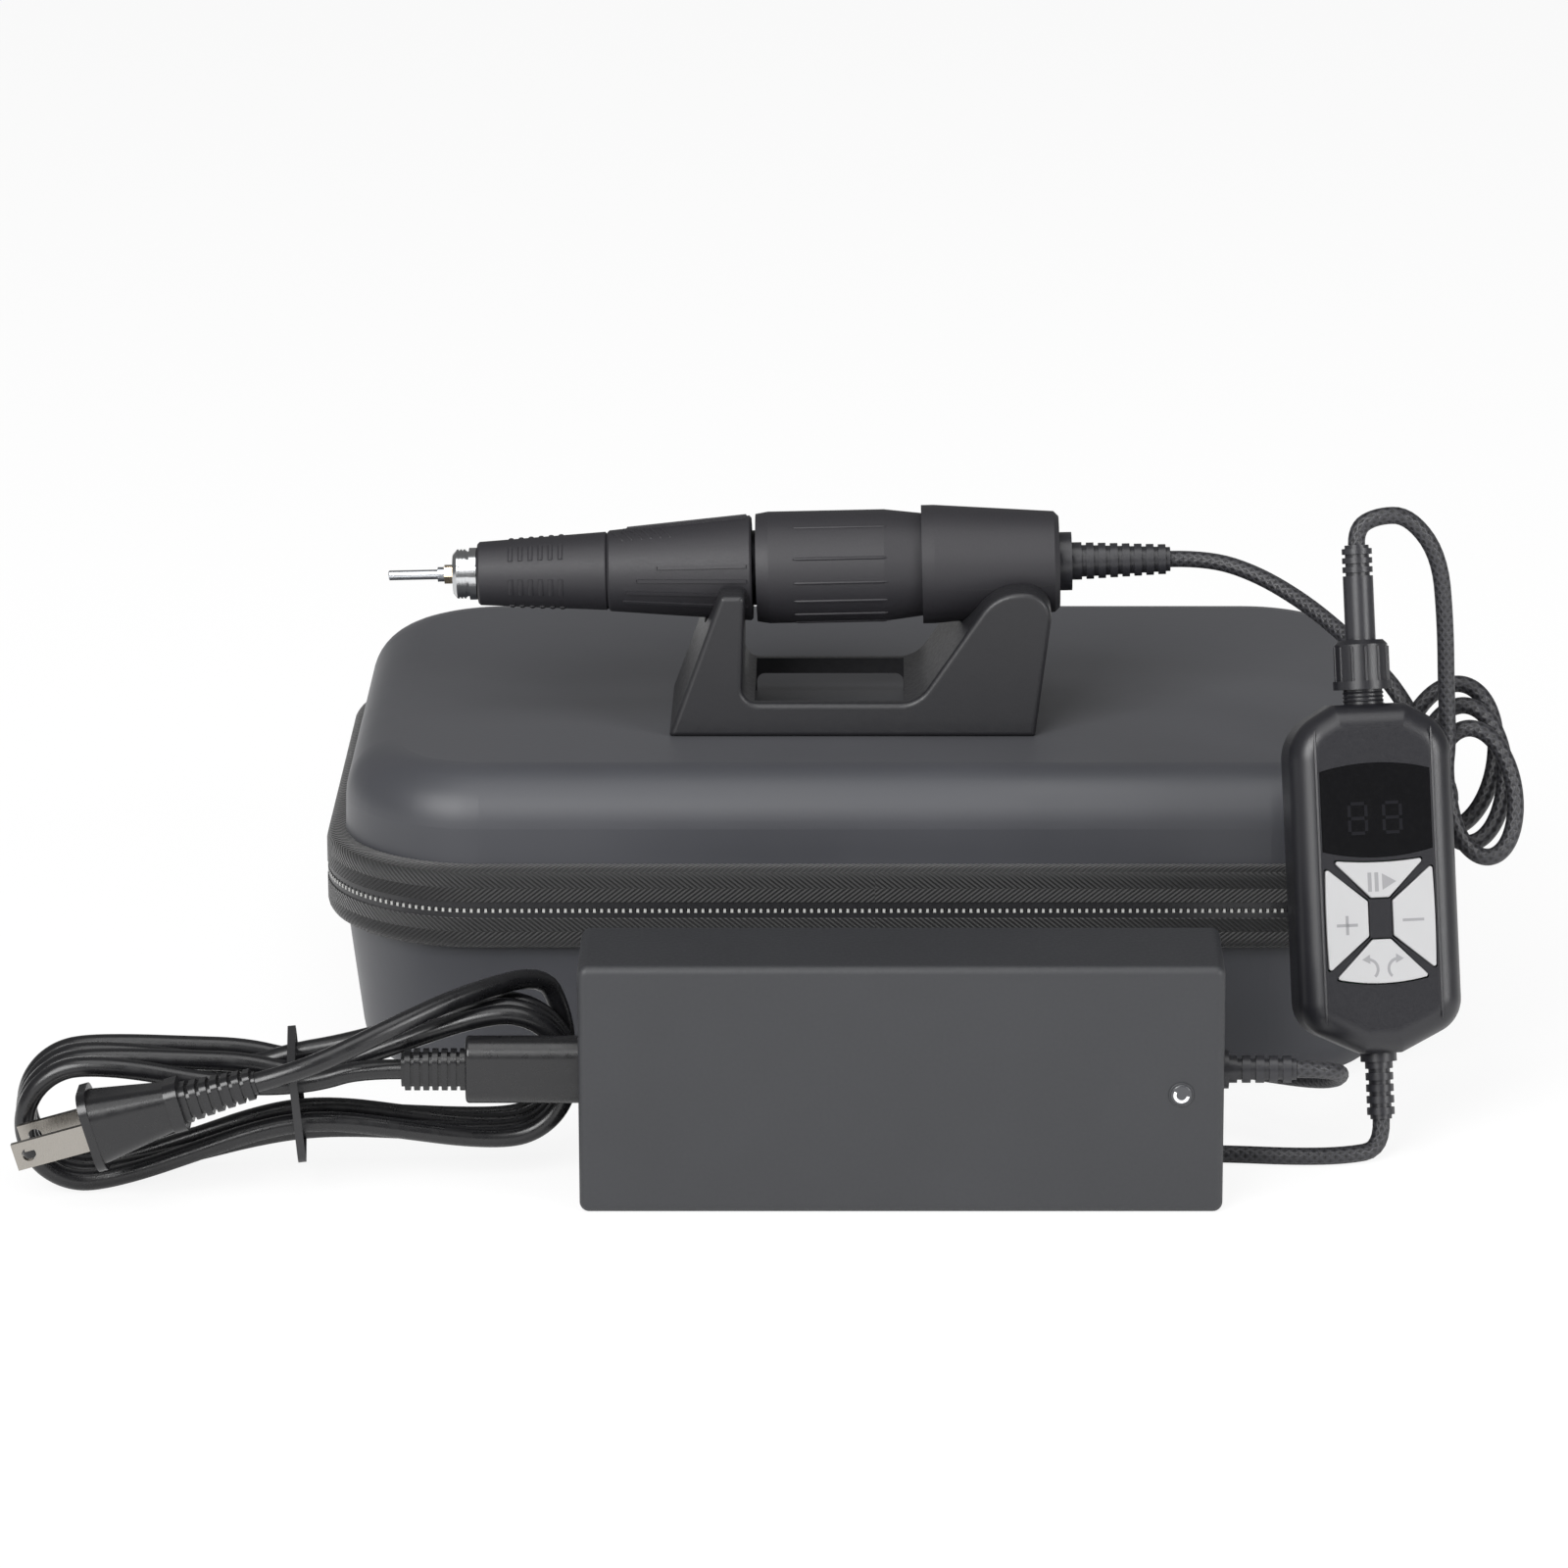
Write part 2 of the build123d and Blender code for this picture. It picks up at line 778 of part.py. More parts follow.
with BuildPart() as nose_cap:
    add(
        turned(
            [
                (nose_station, nose_bore),
                (nose_station, nose_front_radius),
            ]
            + ribbed(
                nose_station + nose_ring_start,
                nose_station + nose_ring_end,
                nose_ring_radius,
                nose_ring_radius,
                nose_rings,
                nose_groove,
            )
            + [
                (nose_station + nose_ring_end, nose_neck_radius),
                (nose_station + nose_ring_end + nose_neck, nose_neck_radius),
                (nose_station + nose_ring_end + nose_neck, nose_radius),
                (grip_station, nose_radius),
                (grip_station, barrel_bore),
                (nose_station + nose_wall, barrel_bore),
                (nose_station + nose_wall, nose_bore),
            ],
            handpiece_plane,
            handpiece_axis,
        )
    )
nose_cap.part.label = "nose_cap"
export_step(nose_cap.part, "parts/nose_cap.step")

# Handpiece: the twist sleeve, its grip in front and its ribbed cone behind
sleeve_bore = barrel_radius + turning_gap
flange_bore = barrel_shoulder + turning_gap
flange_relief = flange_start - turning_gap

with BuildPart() as front_grip:
    add(
        turned(
            [
                (grip_station + turning_gap, sleeve_bore),
                (grip_station + turning_gap, grip_front_radius - grip_chamfer),
                (grip_station + turning_gap + grip_chamfer, grip_front_radius),
                (sleeve_station - grip_chamfer, grip_back_radius),
                (sleeve_station, grip_back_radius - grip_chamfer),
                (sleeve_station, sleeve_bore),
            ],
            handpiece_plane,
            handpiece_axis,
        )
    )
front_grip.part.label = "front_grip"
export_step(front_grip.part, "parts/front_grip.step")

sleeve_slope = (sleeve_back_radius - sleeve_front_radius) / (sleeve_end - sleeve_station)

with BuildPart() as twist_sleeve:
    add(
        turned(
            [
                (sleeve_station, sleeve_bore),
                (sleeve_station, sleeve_front_radius - grip_chamfer),
                (sleeve_station + grip_chamfer, sleeve_front_radius),
                (sleeve_end - grip_chamfer, sleeve_back_radius),
                (sleeve_end, sleeve_back_radius - grip_chamfer),
                (sleeve_end, flange_bore),
                (flange_relief, flange_bore),
                (flange_relief, sleeve_bore),
            ],
            handpiece_plane,
            handpiece_axis,
        )
    )
    for group in range(rib_groups):
        for angle, inset in zip(rib_angles, rib_insets):
            rib_stop = sleeve_end - rib_end_inset
            foot_start = sleeve_front_radius + sleeve_slope * inset
            foot_stop = sleeve_back_radius - sleeve_slope * rib_end_inset
            with BuildSketch(handpiece_turned(angle + group * 360 / rib_groups)):
                with BuildLine():
                    Polyline(
                        (sleeve_station + inset, foot_start - rib_height),
                        (sleeve_station + inset + rib_ramp, foot_start + rib_height),
                        (rib_stop - rib_ramp, foot_stop + rib_height),
                        (rib_stop, foot_stop - rib_height),
                        close=True,
                    )
                make_face()
            extrude(amount=rib_width / 2, both=True)
twist_sleeve.part.label = "twist_sleeve"
export_step(twist_sleeve.part, "parts/twist_sleeve.step")

# Handpiece: motor, bearings and the turning parts
with BuildPart() as motor_stator:
    add(
        turned(
            [
                (motor_start, stator_inner_radius),
                (motor_start, motor_bore_radius - seat_gap),
                (motor_end, motor_bore_radius - seat_gap),
                (motor_end, stator_inner_radius),
            ],
            handpiece_plane,
            handpiece_axis,
        )
    )
motor_stator.part.label = "motor_stator"
export_step(motor_stator.part, "parts/motor_stator.step")

with BuildPart() as motor_end_bell:
    add(
        turned(
            [
                (bell_start, barrel_bore),
                (bell_start, motor_bore_radius - seat_gap),
                (bell_end, motor_bore_radius - seat_gap),
                (bell_end, barrel_bore),
            ],
            handpiece_plane,
            handpiece_axis,
        )
    )
motor_end_bell.part.label = "motor_end_bell"
export_step(motor_end_bell.part, "parts/motor_end_bell.step")

bearing_starts = [front_bearing_station, rear_bearing_station, bell_start + seat_gap]

with BuildPart() as spindle_bearings:
    for start in bearing_starts:
        add(
            turned(
                [
                    (start, spindle_radius + running_fit),
                    (start, bearing_radius),
                    (start + bearing_length, bearing_radius),
                    (start + bearing_length, spindle_radius + running_fit),
                ],
                handpiece_plane,
                handpiece_axis,
            )
        )
spindle_bearings.part.label = "spindle_bearings"
export_step(spindle_bearings.part, "parts/spindle_bearings.step")

spindle_front = nose_station + turning_gap
spindle_end = bell_end + turning_gap
collet_end = shank_tip + shank_length - collet_grip_inset
pin_end = shank_tip + shank_length
spindle_tip = nose_station - nut_reach

with BuildPart() as spindle:
    add(
        turned(
            [
                (spindle_front, collet_radius + running_fit),
                (spindle_front, spindle_radius),
                (spindle_end, spindle_radius),
                (spindle_end, 0),
                (pin_end + turning_gap, 0),
                (pin_end + turning_gap, collet_radius + running_fit),
            ],
            handpiece_plane,
            handpiece_axis,
        )
    )
spindle.part.label = "spindle"
export_step(spindle.part, "parts/spindle.step")

with BuildPart() as spindle_nut:
    with BuildSketch(Plane(origin=handpiece_plane.from_local_coords(Vector(spindle_tip, 0, 0)),
                           x_dir=(0, 1, 0), z_dir=handpiece_plane.x_dir)):
        RegularPolygon(nut_flats_radius, 6)
        Circle(collet_radius + running_fit, mode=Mode.SUBTRACT)
    extrude(amount=spindle_front - spindle_tip)
spindle_nut.part.label = "spindle_nut"
export_step(spindle_nut.part, "parts/spindle_nut.step")

with BuildPart() as motor_rotor:
    add(
        turned(
            [
                (motor_start, spindle_radius + seat_gap),
                (motor_start, rotor_radius),
                (motor_end, rotor_radius),
                (motor_end, spindle_radius + seat_gap),
            ],
            handpiece_plane,
            handpiece_axis,
        )
    )
motor_rotor.part.label = "motor_rotor"
export_step(motor_rotor.part, "parts/motor_rotor.step")

collet_front = spindle_tip - collet_reach + nut_reach

with BuildPart() as collet:
    add(
        turned(
            [
                (collet_front, shank_radius + running_fit),
                (collet_front, collet_radius),
                (collet_end, collet_radius),
                (collet_end, shank_radius + running_fit),
            ],
            handpiece_plane,
            handpiece_axis,
        )
    )
    slit_end = collet_front + collet_slit_length
    for angle in (0, 90):
        with BuildSketch(handpiece_turned(angle)):
            with Locations(((collet_front + slit_end) / 2, 0)):
                Rectangle(collet_slit_length, 2 * collet_radius)
        extrude(amount=collet_slit / 2, both=True, mode=Mode.SUBTRACT)
collet.part.label = "collet"
export_step(collet.part, "parts/collet.step")

with BuildPart() as transit_pin:
    add(
        turned(
            [
                (shank_tip, 0),
                (shank_tip, shank_radius - shank_chamfer),
                (shank_tip + shank_chamfer, shank_radius),
                (pin_end, shank_radius),
                (pin_end, 0),
            ],
            handpiece_plane,
            handpiece_axis,
        )
    )
transit_pin.part.label = "transit_pin"
export_step(transit_pin.part, "parts/transit_pin.step")

with BuildPart() as handpiece_gland:
    add(
        turned(
            [
                (cap_end - cap_wall, 0),
                (cap_end - cap_wall, boot_front_radius - seat_gap),
                (cap_end, boot_front_radius - seat_gap),
                (cap_end, gland_radius),
                (gland_station, gland_radius),
                (gland_station, boot_front_radius),
            ]
            + ribbed(
                gland_station + boot_lead,
                boot_end,
                boot_front_radius,
                boot_tip_radius,
                boot_ribs,
                boot_rib_depth,
            )
            + [(boot_end, 0)],
            handpiece_plane,
            handpiece_axis,
        )
    )
handpiece_gland.part.label = "handpiece_gland"
export_step(handpiece_gland.part, "parts/handpiece_gland.step")

# Controller: a housing in two shells that stands on its cord and leans back
lean = radians(controller_lean)
roll = radians(controller_roll)
yaw = radians(controller_yaw)
upright = Vector(0, sin(lean), cos(lean))
face_normal = Vector(sin(yaw), -cos(yaw) * cos(lean), cos(yaw) * sin(lean))
level = upright.cross(face_normal)
across = (level * cos(roll) + upright * sin(roll)).normalized()
controller_face = Plane(origin=(controller_x, controller_y, controller_z), x_dir=across, z_dir=face_normal)
controller_middle = controller_face.offset(-controller_depth / 2)
controller_axis = Axis(controller_middle.origin, controller_middle.y_dir)
facing = Axis(controller_face.origin, face_normal)
parting = controller_face.offset(-front_shell_depth)
axis_up = Plane(origin=controller_middle.origin, x_dir=across, z_dir=controller_middle.y_dir)
axis_down = Plane(origin=controller_middle.origin, x_dir=across, z_dir=controller_middle.y_dir * -1)
controller_half = controller_width / 2

housing_points = [
    (-shoulder_half, controller_top),
    (-controller_half, controller_top - shoulder_drop),
    (-controller_half, -controller_bottom + foot_rise),
    (-foot_half, -controller_bottom),
    (foot_half, -controller_bottom),
    (controller_half, -controller_bottom + foot_rise),
    (controller_half, controller_top - shoulder_drop),
    (shoulder_half, controller_top),
]
housing_radii = [
    shoulder_lip,
    shoulder_radius,
    foot_radius,
    shoulder_lip,
    shoulder_lip,
    foot_radius,
    shoulder_radius,
    shoulder_lip,
]
pad_middle = -pad_drop
pad_angles = {"button_top": 90, "button_left": 180, "button_bottom": 270, "button_right": 0}


def pad_outline(name, gap):
    """The corner points of one of the four buttons, grown outwards by gap."""
    wide = name in ("button_top", "button_bottom")
    sign = 1 if name in ("button_top", "button_right") else -1
    if wide:
        outer = pad_half_height + gap
        inner = pad_hub_height - gap
        half_outer = pad_half_width - pad_gap + gap
        half_inner = pad_hub_width - pad_gap / 2 + gap
        bulge = -pad_top_dip if sign == 1 else pad_bottom_bow
        bow = (0, pad_middle + sign * (outer + bulge))
        corners = [
            (-half_outer, outer),
            (-half_inner, inner),
            (half_inner, inner),
            (half_outer, outer),
        ]
        return [(x, pad_middle + sign * y) for x, y in corners], bow
    outer = pad_half_width + gap
    inner = pad_hub_width - gap
    half_outer = pad_half_height - pad_gap + gap
    half_inner = pad_hub_height - pad_gap / 2 + gap
    bow = (sign * (outer + pad_side_bow), pad_middle)
    corners = [
        (outer, half_outer),
        (inner, half_inner),
        (inner, -half_inner),
        (outer, -half_outer),
    ]
    return [(sign * x, pad_middle + y) for x, y in corners], bow


with BuildPart() as controller_front:
    with BuildSketch(parting):
        with BuildLine():
            FilletPolyline(*housing_points, radius=housing_radii, close=True)
        make_face()
    extrude(amount=front_shell_depth)
    fillet(controller_front.faces().sort_by(facing)[-1].edges(), controller_edge)
    with BuildSketch(parting):
        with BuildLine():
            FilletPolyline(*housing_points, radius=housing_radii, close=True)
        make_face()
        offset(amount=-controller_wall)
    extrude(amount=front_shell_depth - controller_wall, mode=Mode.SUBTRACT)
    with BuildSketch(controller_face.offset(-window_thickness)):
        with BuildLine():
            Polyline((-window_half, window_high), (-window_half, window_low))
            ThreePointArc(
                (-window_half, window_low), (0, window_low - window_bow), (window_half, window_low)
            )
            Polyline((window_half, window_low), (window_half, window_high))
            ThreePointArc(
                (window_half, window_high), (0, window_high + window_bow), (-window_half, window_high)
            )
        make_face()
    extrude(amount=controller_edge, mode=Mode.SUBTRACT)
    for pad in pad_angles:
        corners, bow = pad_outline(pad, fit_gap)
        with BuildSketch(controller_face.offset(-controller_edge)) as hole:
            with BuildLine():
                Polyline(*corners)
                ThreePointArc(corners[-1], bow, corners[0])
            make_face()
            fillet(hole.vertices(), pad_corner)
        extrude(amount=2 * controller_edge, mode=Mode.SUBTRACT)
    with BuildSketch(axis_up):
        Circle(socket_radius + seat_gap)
    extrude(amount=controller_top + overrun, mode=Mode.SUBTRACT)
    with BuildSketch(axis_down):
        Circle(controller_neck_radius + seat_gap)
    extrude(amount=controller_bottom + overrun, mode=Mode.SUBTRACT)
controller_front.part.label = "controller_front"
export_step(controller_front.part, "parts/controller_front.step")

back_shell_depth = controller_depth - front_shell_depth
screw_places = [(0, -controller_bottom + foot_radius + foot_rise), (0, controller_top - shoulder_radius)]

with BuildPart() as controller_back:
    with BuildSketch(parting):
        with BuildLine():
            FilletPolyline(*housing_points, radius=housing_radii, close=True)
        make_face()
    extrude(amount=-back_shell_depth)
    fillet(controller_back.faces().sort_by(facing)[0].edges(), controller_edge)
    with BuildSketch(parting):
        with BuildLine():
            FilletPolyline(*housing_points, radius=housing_radii, close=True)
        make_face()
        offset(amount=-controller_wall)
    extrude(amount=controller_wall - back_shell_depth, mode=Mode.SUBTRACT)
    with BuildSketch(parting.offset(controller_wall - back_shell_depth)):
        with Locations(*screw_places):
            Circle(screw_radius + controller_wall)
    extrude(amount=back_shell_depth - 2 * controller_wall)
    with BuildSketch(parting.offset(-back_shell_depth)):
        with Locations(*screw_places):
            Circle(screw_radius + seat_gap)
    extrude(amount=back_shell_depth, mode=Mode.SUBTRACT)
    with BuildSketch(parting.offset(-back_shell_depth)):
        with Locations(*screw_places):
            Circle(screw_head_radius + seat_gap)
    extrude(amount=screw_head_height, mode=Mode.SUBTRACT)
    with BuildSketch(axis_up):
        Circle(socket_radius + seat_gap)
    extrude(amount=controller_top + overrun, mode=Mode.SUBTRACT)
    with BuildSketch(axis_down):
        Circle(controller_neck_radius + seat_gap)
    extrude(amount=controller_bottom + overrun, mode=Mode.SUBTRACT)
controller_back.part.label = "controller_back"
export_step(controller_back.part, "parts/controller_back.step")

with BuildPart() as shell_screws:
    for place in screw_places:
        with BuildSketch(parting.offset(-back_shell_depth)):
            with Locations(place):
                Circle(screw_head_radius)
        extrude(amount=screw_head_height - seat_gap)
        with BuildSketch(parting.offset(screw_head_height - back_shell_depth - seat_gap)):
            with Locations(place):
                Circle(screw_radius)
        extrude(amount=screw_length - screw_head_height)
shell_screws.part.label = "shell_screws"
export_step(shell_screws.part, "parts/shell_screws.step")

pane_half = window_half - window_seat
pane_high = window_high - window_seat
pane_low = window_low + window_seat

with BuildPart() as display_window:
    with BuildSketch(controller_face.offset(-window_thickness)):
        with BuildLine():
            Polyline((-pane_half, pane_high), (-pane_half, pane_low))
            ThreePointArc((-pane_half, pane_low), (0, pane_low - window_bow), (pane_half, pane_low))
            Polyline((pane_half, pane_low), (pane_half, pane_high))
            ThreePointArc((pane_half, pane_high), (0, pane_high + window_bow), (-pane_half, pane_high))
        make_face()
    extrude(amount=window_thickness + window_proud)
display_window.part.label = "display_window"
export_step(display_window.part, "parts/display_window.step")

display_y = (window_high + window_low) / 2
board_front = controller_face.offset(-board_depth)

with BuildPart() as display_module:
    with BuildSketch(board_front):
        with Locations((0, display_y)):
            Rectangle(2 * display_half, display_height)
    extrude(amount=board_depth - controller_wall - display_gap)
display_module.part.label = "display_module"
export_step(display_module.part, "parts/display_module.step")

with BuildPart() as control_board:
    with BuildSketch(board_front):
        with Locations((0, (board_high - board_low) / 2)):
            Rectangle(2 * board_half, board_high + board_low)
        with Locations(*screw_places):
            Circle(screw_radius + controller_wall + fit_gap, mode=Mode.SUBTRACT)
    extrude(amount=-board_thickness)
control_board.part.label = "control_board"
export_step(control_board.part, "parts/control_board.step")

switch_places = {}
for pad in pad_angles:
    corners, bow = pad_outline(pad, 0)
    with BuildPart() as button:
        with BuildSketch(controller_face.offset(button_proud - button_depth)) as pad_shape:
            with BuildLine():
                Polyline(*corners)
                ThreePointArc(corners[-1], bow, corners[0])
            make_face()
            fillet(pad_shape.vertices(), pad_corner)
        extrude(amount=button_depth)
        fillet(button.faces().sort_by(facing)[-1].edges(), button_edge)
    button.part.label = pad
    export_step(button.part, f"parts/{pad}.step")
    middle_x = sum(x for x, y in corners) / len(corners)
    middle_y = sum(y for x, y in corners) / len(corners)
    switch_places[pad] = (middle_x, middle_y)

with BuildPart() as key_switches:
    with BuildSketch(board_front):
        with Locations(*switch_places.values()):
            Rectangle(switch_size, switch_size)
    extrude(amount=board_depth - button_depth + button_proud - button_travel - 2 * switch_gap)
    with BuildSketch(board_front):
        with Locations(*switch_places.values()):
            Circle(switch_size / 4)
    extrude(amount=board_depth - button_depth + button_proud - button_travel - switch_gap)
key_switches.part.label = "key_switches"
export_step(key_switches.part, "parts/key_switches.step")


# Controller: the socket on top, its plug and lock nut, and the gland below
def along(points):
    """Profile points given as (place along the axis, radius), as (radius, place)."""
    return [(radius, place) for place, radius in points]


neck_top = controller_top + socket_reach

with BuildPart() as controller_socket:
    add(
        turned(
            along(
                [
                    (controller_top - socket_depth, 0),
                    (controller_top - socket_depth, socket_radius + neck_collar),
                    (controller_top - controller_wall - seat_gap, socket_radius + neck_collar),
                    (controller_top - controller_wall - seat_gap, socket_radius),
                    (neck_top, socket_radius),
                    (neck_top, socket_bore),
                    (controller_top - socket_depth + neck_collar, socket_bore),
                    (controller_top - socket_depth + neck_collar, 0),
                ]
            ),
            controller_middle,
            controller_axis,
        )
    )
controller_socket.part.label = "controller_socket"
export_step(controller_socket.part, "parts/controller_socket.step")

lock_nut_end = lock_nut_start + lock_nut_length
nut_bore = socket_radius + turning_gap
nut_lip_bore = plug_radius + turning_gap

with BuildPart() as lock_nut:
    add(
        turned(
            along(
                [
                    (lock_nut_start, nut_bore),
                    (lock_nut_start, lock_nut_radius),
                    (lock_nut_start + lock_nut_flange, lock_nut_radius),
                    (lock_nut_start + lock_nut_flange, lock_nut_grip_radius),
                    (lock_nut_end - lock_nut_flange / 2, lock_nut_grip_radius),
                    (lock_nut_end, lock_nut_grip_radius - lock_nut_flange / 2),
                    (lock_nut_end, nut_lip_bore),
                    (lock_nut_end - lock_nut_flange, nut_lip_bore),
                    (lock_nut_end - lock_nut_flange, nut_bore),
                ]
            ),
            controller_middle,
            controller_axis,
        )
    )
    with BuildSketch(axis_up.offset(lock_nut_start + seat_gap)):
        with PolarLocations(lock_nut_grip_radius, lock_nut_ribs):
            Circle(lock_nut_rib / 2)
    extrude(amount=lock_nut_length - lock_nut_rib_inset)
lock_nut.part.label = "lock_nut"
export_step(lock_nut.part, "parts/lock_nut.step")

rib_start = plug_end - plug_rib_length
flange_low = lock_nut_end - lock_nut_flange - turning_gap - plug_flange

with BuildPart() as cord_plug:
    add(
        turned(
            along(
                [
                    (neck_top - plug_key_length, 0),
                    (neck_top - plug_key_length, socket_bore - seat_gap),
                    (flange_low, socket_bore - seat_gap),
                    (flange_low, socket_radius),
                    (flange_low + plug_flange, socket_radius),
                    (flange_low + plug_flange, plug_radius),
                ]
                + ribbed(rib_start, plug_end, plug_radius, plug_radius, plug_ribs, plug_rib_depth)
                + [(plug_end, 0)]
            ),
            controller_middle,
            controller_axis,
        )
    )
cord_plug.part.label = "cord_plug"
export_step(cord_plug.part, "parts/cord_plug.step")

gland_start = controller_bottom + controller_gland_disc

with BuildPart() as controller_gland:
    add(
        turned(
            along(
                [
                    (-controller_bottom + controller_wall, 0),
                    (-controller_bottom + controller_wall, controller_neck_radius),
                    (-controller_bottom, controller_neck_radius),
                    (-controller_bottom, controller_gland_radius),
                    (-gland_start, controller_gland_radius),
                ]
                + ribbed(
                    -gland_start,
                    -controller_gland_tip,
                    controller_gland_tip_radius,
                    controller_gland_tip_radius,
                    gland_ribs,
                    gland_rib_depth,
                )
                + [(-controller_gland_tip, 0)]
            ),
            controller_middle,
            controller_axis,
        )
    )
controller_gland.part.label = "controller_gland"
export_step(controller_gland.part, "parts/controller_gland.step")

# Adapter: two shells that meet at mid depth, and what they hold
adapter_left = adapter_x - adapter_length / 2
adapter_right = adapter_x + adapter_length / 2
half_adapter = adapter_depth / 2
front_half = Plane(origin=(adapter_x, adapter_y, adapter_height / 2), x_dir=(1, 0, 0), z_dir=(0, -1, 0))
back_half = Plane(origin=(adapter_x, adapter_y, adapter_height / 2), x_dir=(1, 0, 0), z_dir=(0, 1, 0))
led_offset = adapter_length / 2 - led_inset
led_rise = led_z - adapter_height / 2
left_end = Plane(origin=(adapter_left, adapter_y, inlet_z), x_dir=(0, -1, 0), z_dir=(-1, 0, 0))
right_end = Plane(origin=(adapter_right, adapter_y, inlet_z), x_dir=(0, 1, 0), z_dir=(1, 0, 0))


def adapter_shell(middle):
    """One half of the adapter's case, a tray open at the parting plane."""
    with BuildPart() as tray:
        with BuildSketch(middle):
            RectangleRounded(adapter_length, adapter_height, adapter_edge)
        extrude(amount=half_adapter)
        outer = Axis(middle.origin, middle.z_dir)
        fillet(tray.faces().sort_by(outer)[-1].edges(), adapter_edge * adapter_edge_share)
        with BuildSketch(middle):
            RectangleRounded(
                adapter_length - 2 * adapter_wall,
                adapter_height - 2 * adapter_wall,
                adapter_edge * inner_edge_share,
            )
        extrude(amount=half_adapter - adapter_wall, mode=Mode.SUBTRACT)
        with BuildSketch(left_end):
            RectangleRounded(
                inlet_width + 2 * seat_gap, inlet_height + 2 * seat_gap, inlet_width * inlet_round_share
            )
        extrude(amount=-2 * adapter_wall, mode=Mode.SUBTRACT)
        with BuildSketch(right_end):
            Circle(dc_gland_neck + seat_gap)
        extrude(amount=-2 * adapter_wall, mode=Mode.SUBTRACT)
    return tray.part


with BuildPart() as adapter_front:
    add(adapter_shell(front_half))
    with BuildSketch(front_half):
        with Locations((led_offset, led_rise)):
            Circle(led_radius + seat_gap)
    extrude(amount=adapter_depth, mode=Mode.SUBTRACT)
adapter_front.part.label = "adapter_front"
export_step(adapter_front.part, "parts/adapter_front.step")

with BuildPart() as adapter_back:
    add(adapter_shell(back_half))
adapter_back.part.label = "adapter_back"
export_step(adapter_back.part, "parts/adapter_back.step")

board_z = adapter_wall + board_gap
board_x_low = adapter_left + adapter_wall + inlet_depth + board_gap
board_x_high = adapter_right - adapter_wall - fit_gap
board_depth_span = adapter_depth - 2 * adapter_wall - 2 * fit_gap

with BuildPart() as adapter_board:
    with BuildSketch(Plane.XY.offset(board_z)):
        with Locations(((board_x_low + board_x_high) / 2, adapter_y)):
            Rectangle(board_x_high - board_x_low, board_depth_span)
    extrude(amount=board_thickness)
    with BuildSketch(Plane.XY.offset(adapter_wall)):
        with Locations(
            (board_x_low + board_gap, adapter_y),
            (board_x_high - board_gap, adapter_y),
        ):
            Circle(screw_radius)
    extrude(amount=board_gap)
adapter_board.part.label = "adapter_board"
export_step(adapter_board.part, "parts/adapter_board.step")

transformer_x = adapter_x
parts_floor = board_z + board_thickness

with BuildPart() as power_components:
    with BuildSketch(Plane.XY.offset(parts_floor)):
        with Locations((transformer_x, adapter_y)):
            RectangleRounded(transformer_length, transformer_depth, transformer_edge)
    extrude(amount=transformer_height)
    with BuildSketch(Plane.XY.offset(parts_floor)):
        with Locations(
            (transformer_x - transformer_length / 2 - 2 * capacitor_radius, adapter_y),
            (transformer_x + transformer_length / 2 + 2 * capacitor_radius, adapter_y),
        ):
            Circle(capacitor_radius)
    extrude(amount=capacitor_length)
power_components.part.label = "power_components"
export_step(power_components.part, "parts/power_components.step")

with BuildPart() as status_led:
    with BuildSketch(front_half.offset(half_adapter - led_length)):
        with Locations((led_offset, led_rise)):
            Circle(led_radius)
    extrude(amount=led_length + led_proud)
    fillet(status_led.faces().sort_by(Axis.Y)[0].edges(), led_proud)
status_led.part.label = "status_led"
export_step(status_led.part, "parts/status_led.step")

with BuildPart() as mains_inlet:
    with BuildSketch(left_end):
        RectangleRounded(inlet_width, inlet_height, inlet_width * inlet_round_share)
    extrude(amount=-inlet_depth)
    with BuildSketch(left_end):
        RectangleRounded(
            inlet_width - 2 * inlet_wall,
            inlet_height - 2 * inlet_wall,
            (inlet_width - 2 * inlet_wall) * inlet_round_share,
        )
    extrude(amount=inlet_wall - inlet_depth, mode=Mode.SUBTRACT)
    with BuildSketch(left_end.offset(inlet_wall - inlet_depth)):
        with Locations((0, -inlet_pin_spacing / 2), (0, inlet_pin_spacing / 2)):
            Circle(inlet_pin_radius)
    extrude(amount=inlet_pin_length)
mains_inlet.part.label = "mains_inlet"
export_step(mains_inlet.part, "parts/mains_inlet.step")

dc_axis = Axis(right_end.origin, (1, 0, 0))
dc_profile = Plane(origin=right_end.origin, x_dir=(1, 0, 0), z_dir=(0, -1, 0))
with BuildPart() as dc_gland:
    add(
        turned(
            [
                (-adapter_wall, 0),
                (-adapter_wall, dc_gland_neck),
                (0, dc_gland_neck),
                (0, dc_gland_radius),
                (dc_gland_disc, dc_gland_radius),
            ]
            + ribbed(
                dc_gland_disc,
                dc_gland_length,
                dc_gland_tip_radius,
                dc_gland_tip_radius,
                gland_ribs,
                gland_rib_depth,
            )
            + [(dc_gland_length, 0)],
            dc_profile,
            dc_axis,
        )
    )
dc_gland.part.label = "dc_gland"
export_step(dc_gland.part, "parts/dc_gland.step")

# Mains lead ends: the inline connector in the inlet, and the plug on the table
connector_start = adapter_left + fit_gap - connector_pocket
connector_back = adapter_left - connector_length
connector_tip_x = connector_back - connector_relief
connector_plane = Plane(origin=(0, adapter_y, inlet_z), x_dir=(0, -1, 0), z_dir=(-1, 0, 0))
inlet_bore_width = inlet_width - 2 * inlet_wall - 2 * inlet_fit
inlet_bore_height = inlet_height - 2 * inlet_wall - 2 * inlet_fit
socket_hole = inlet_pin_radius + inlet_fit

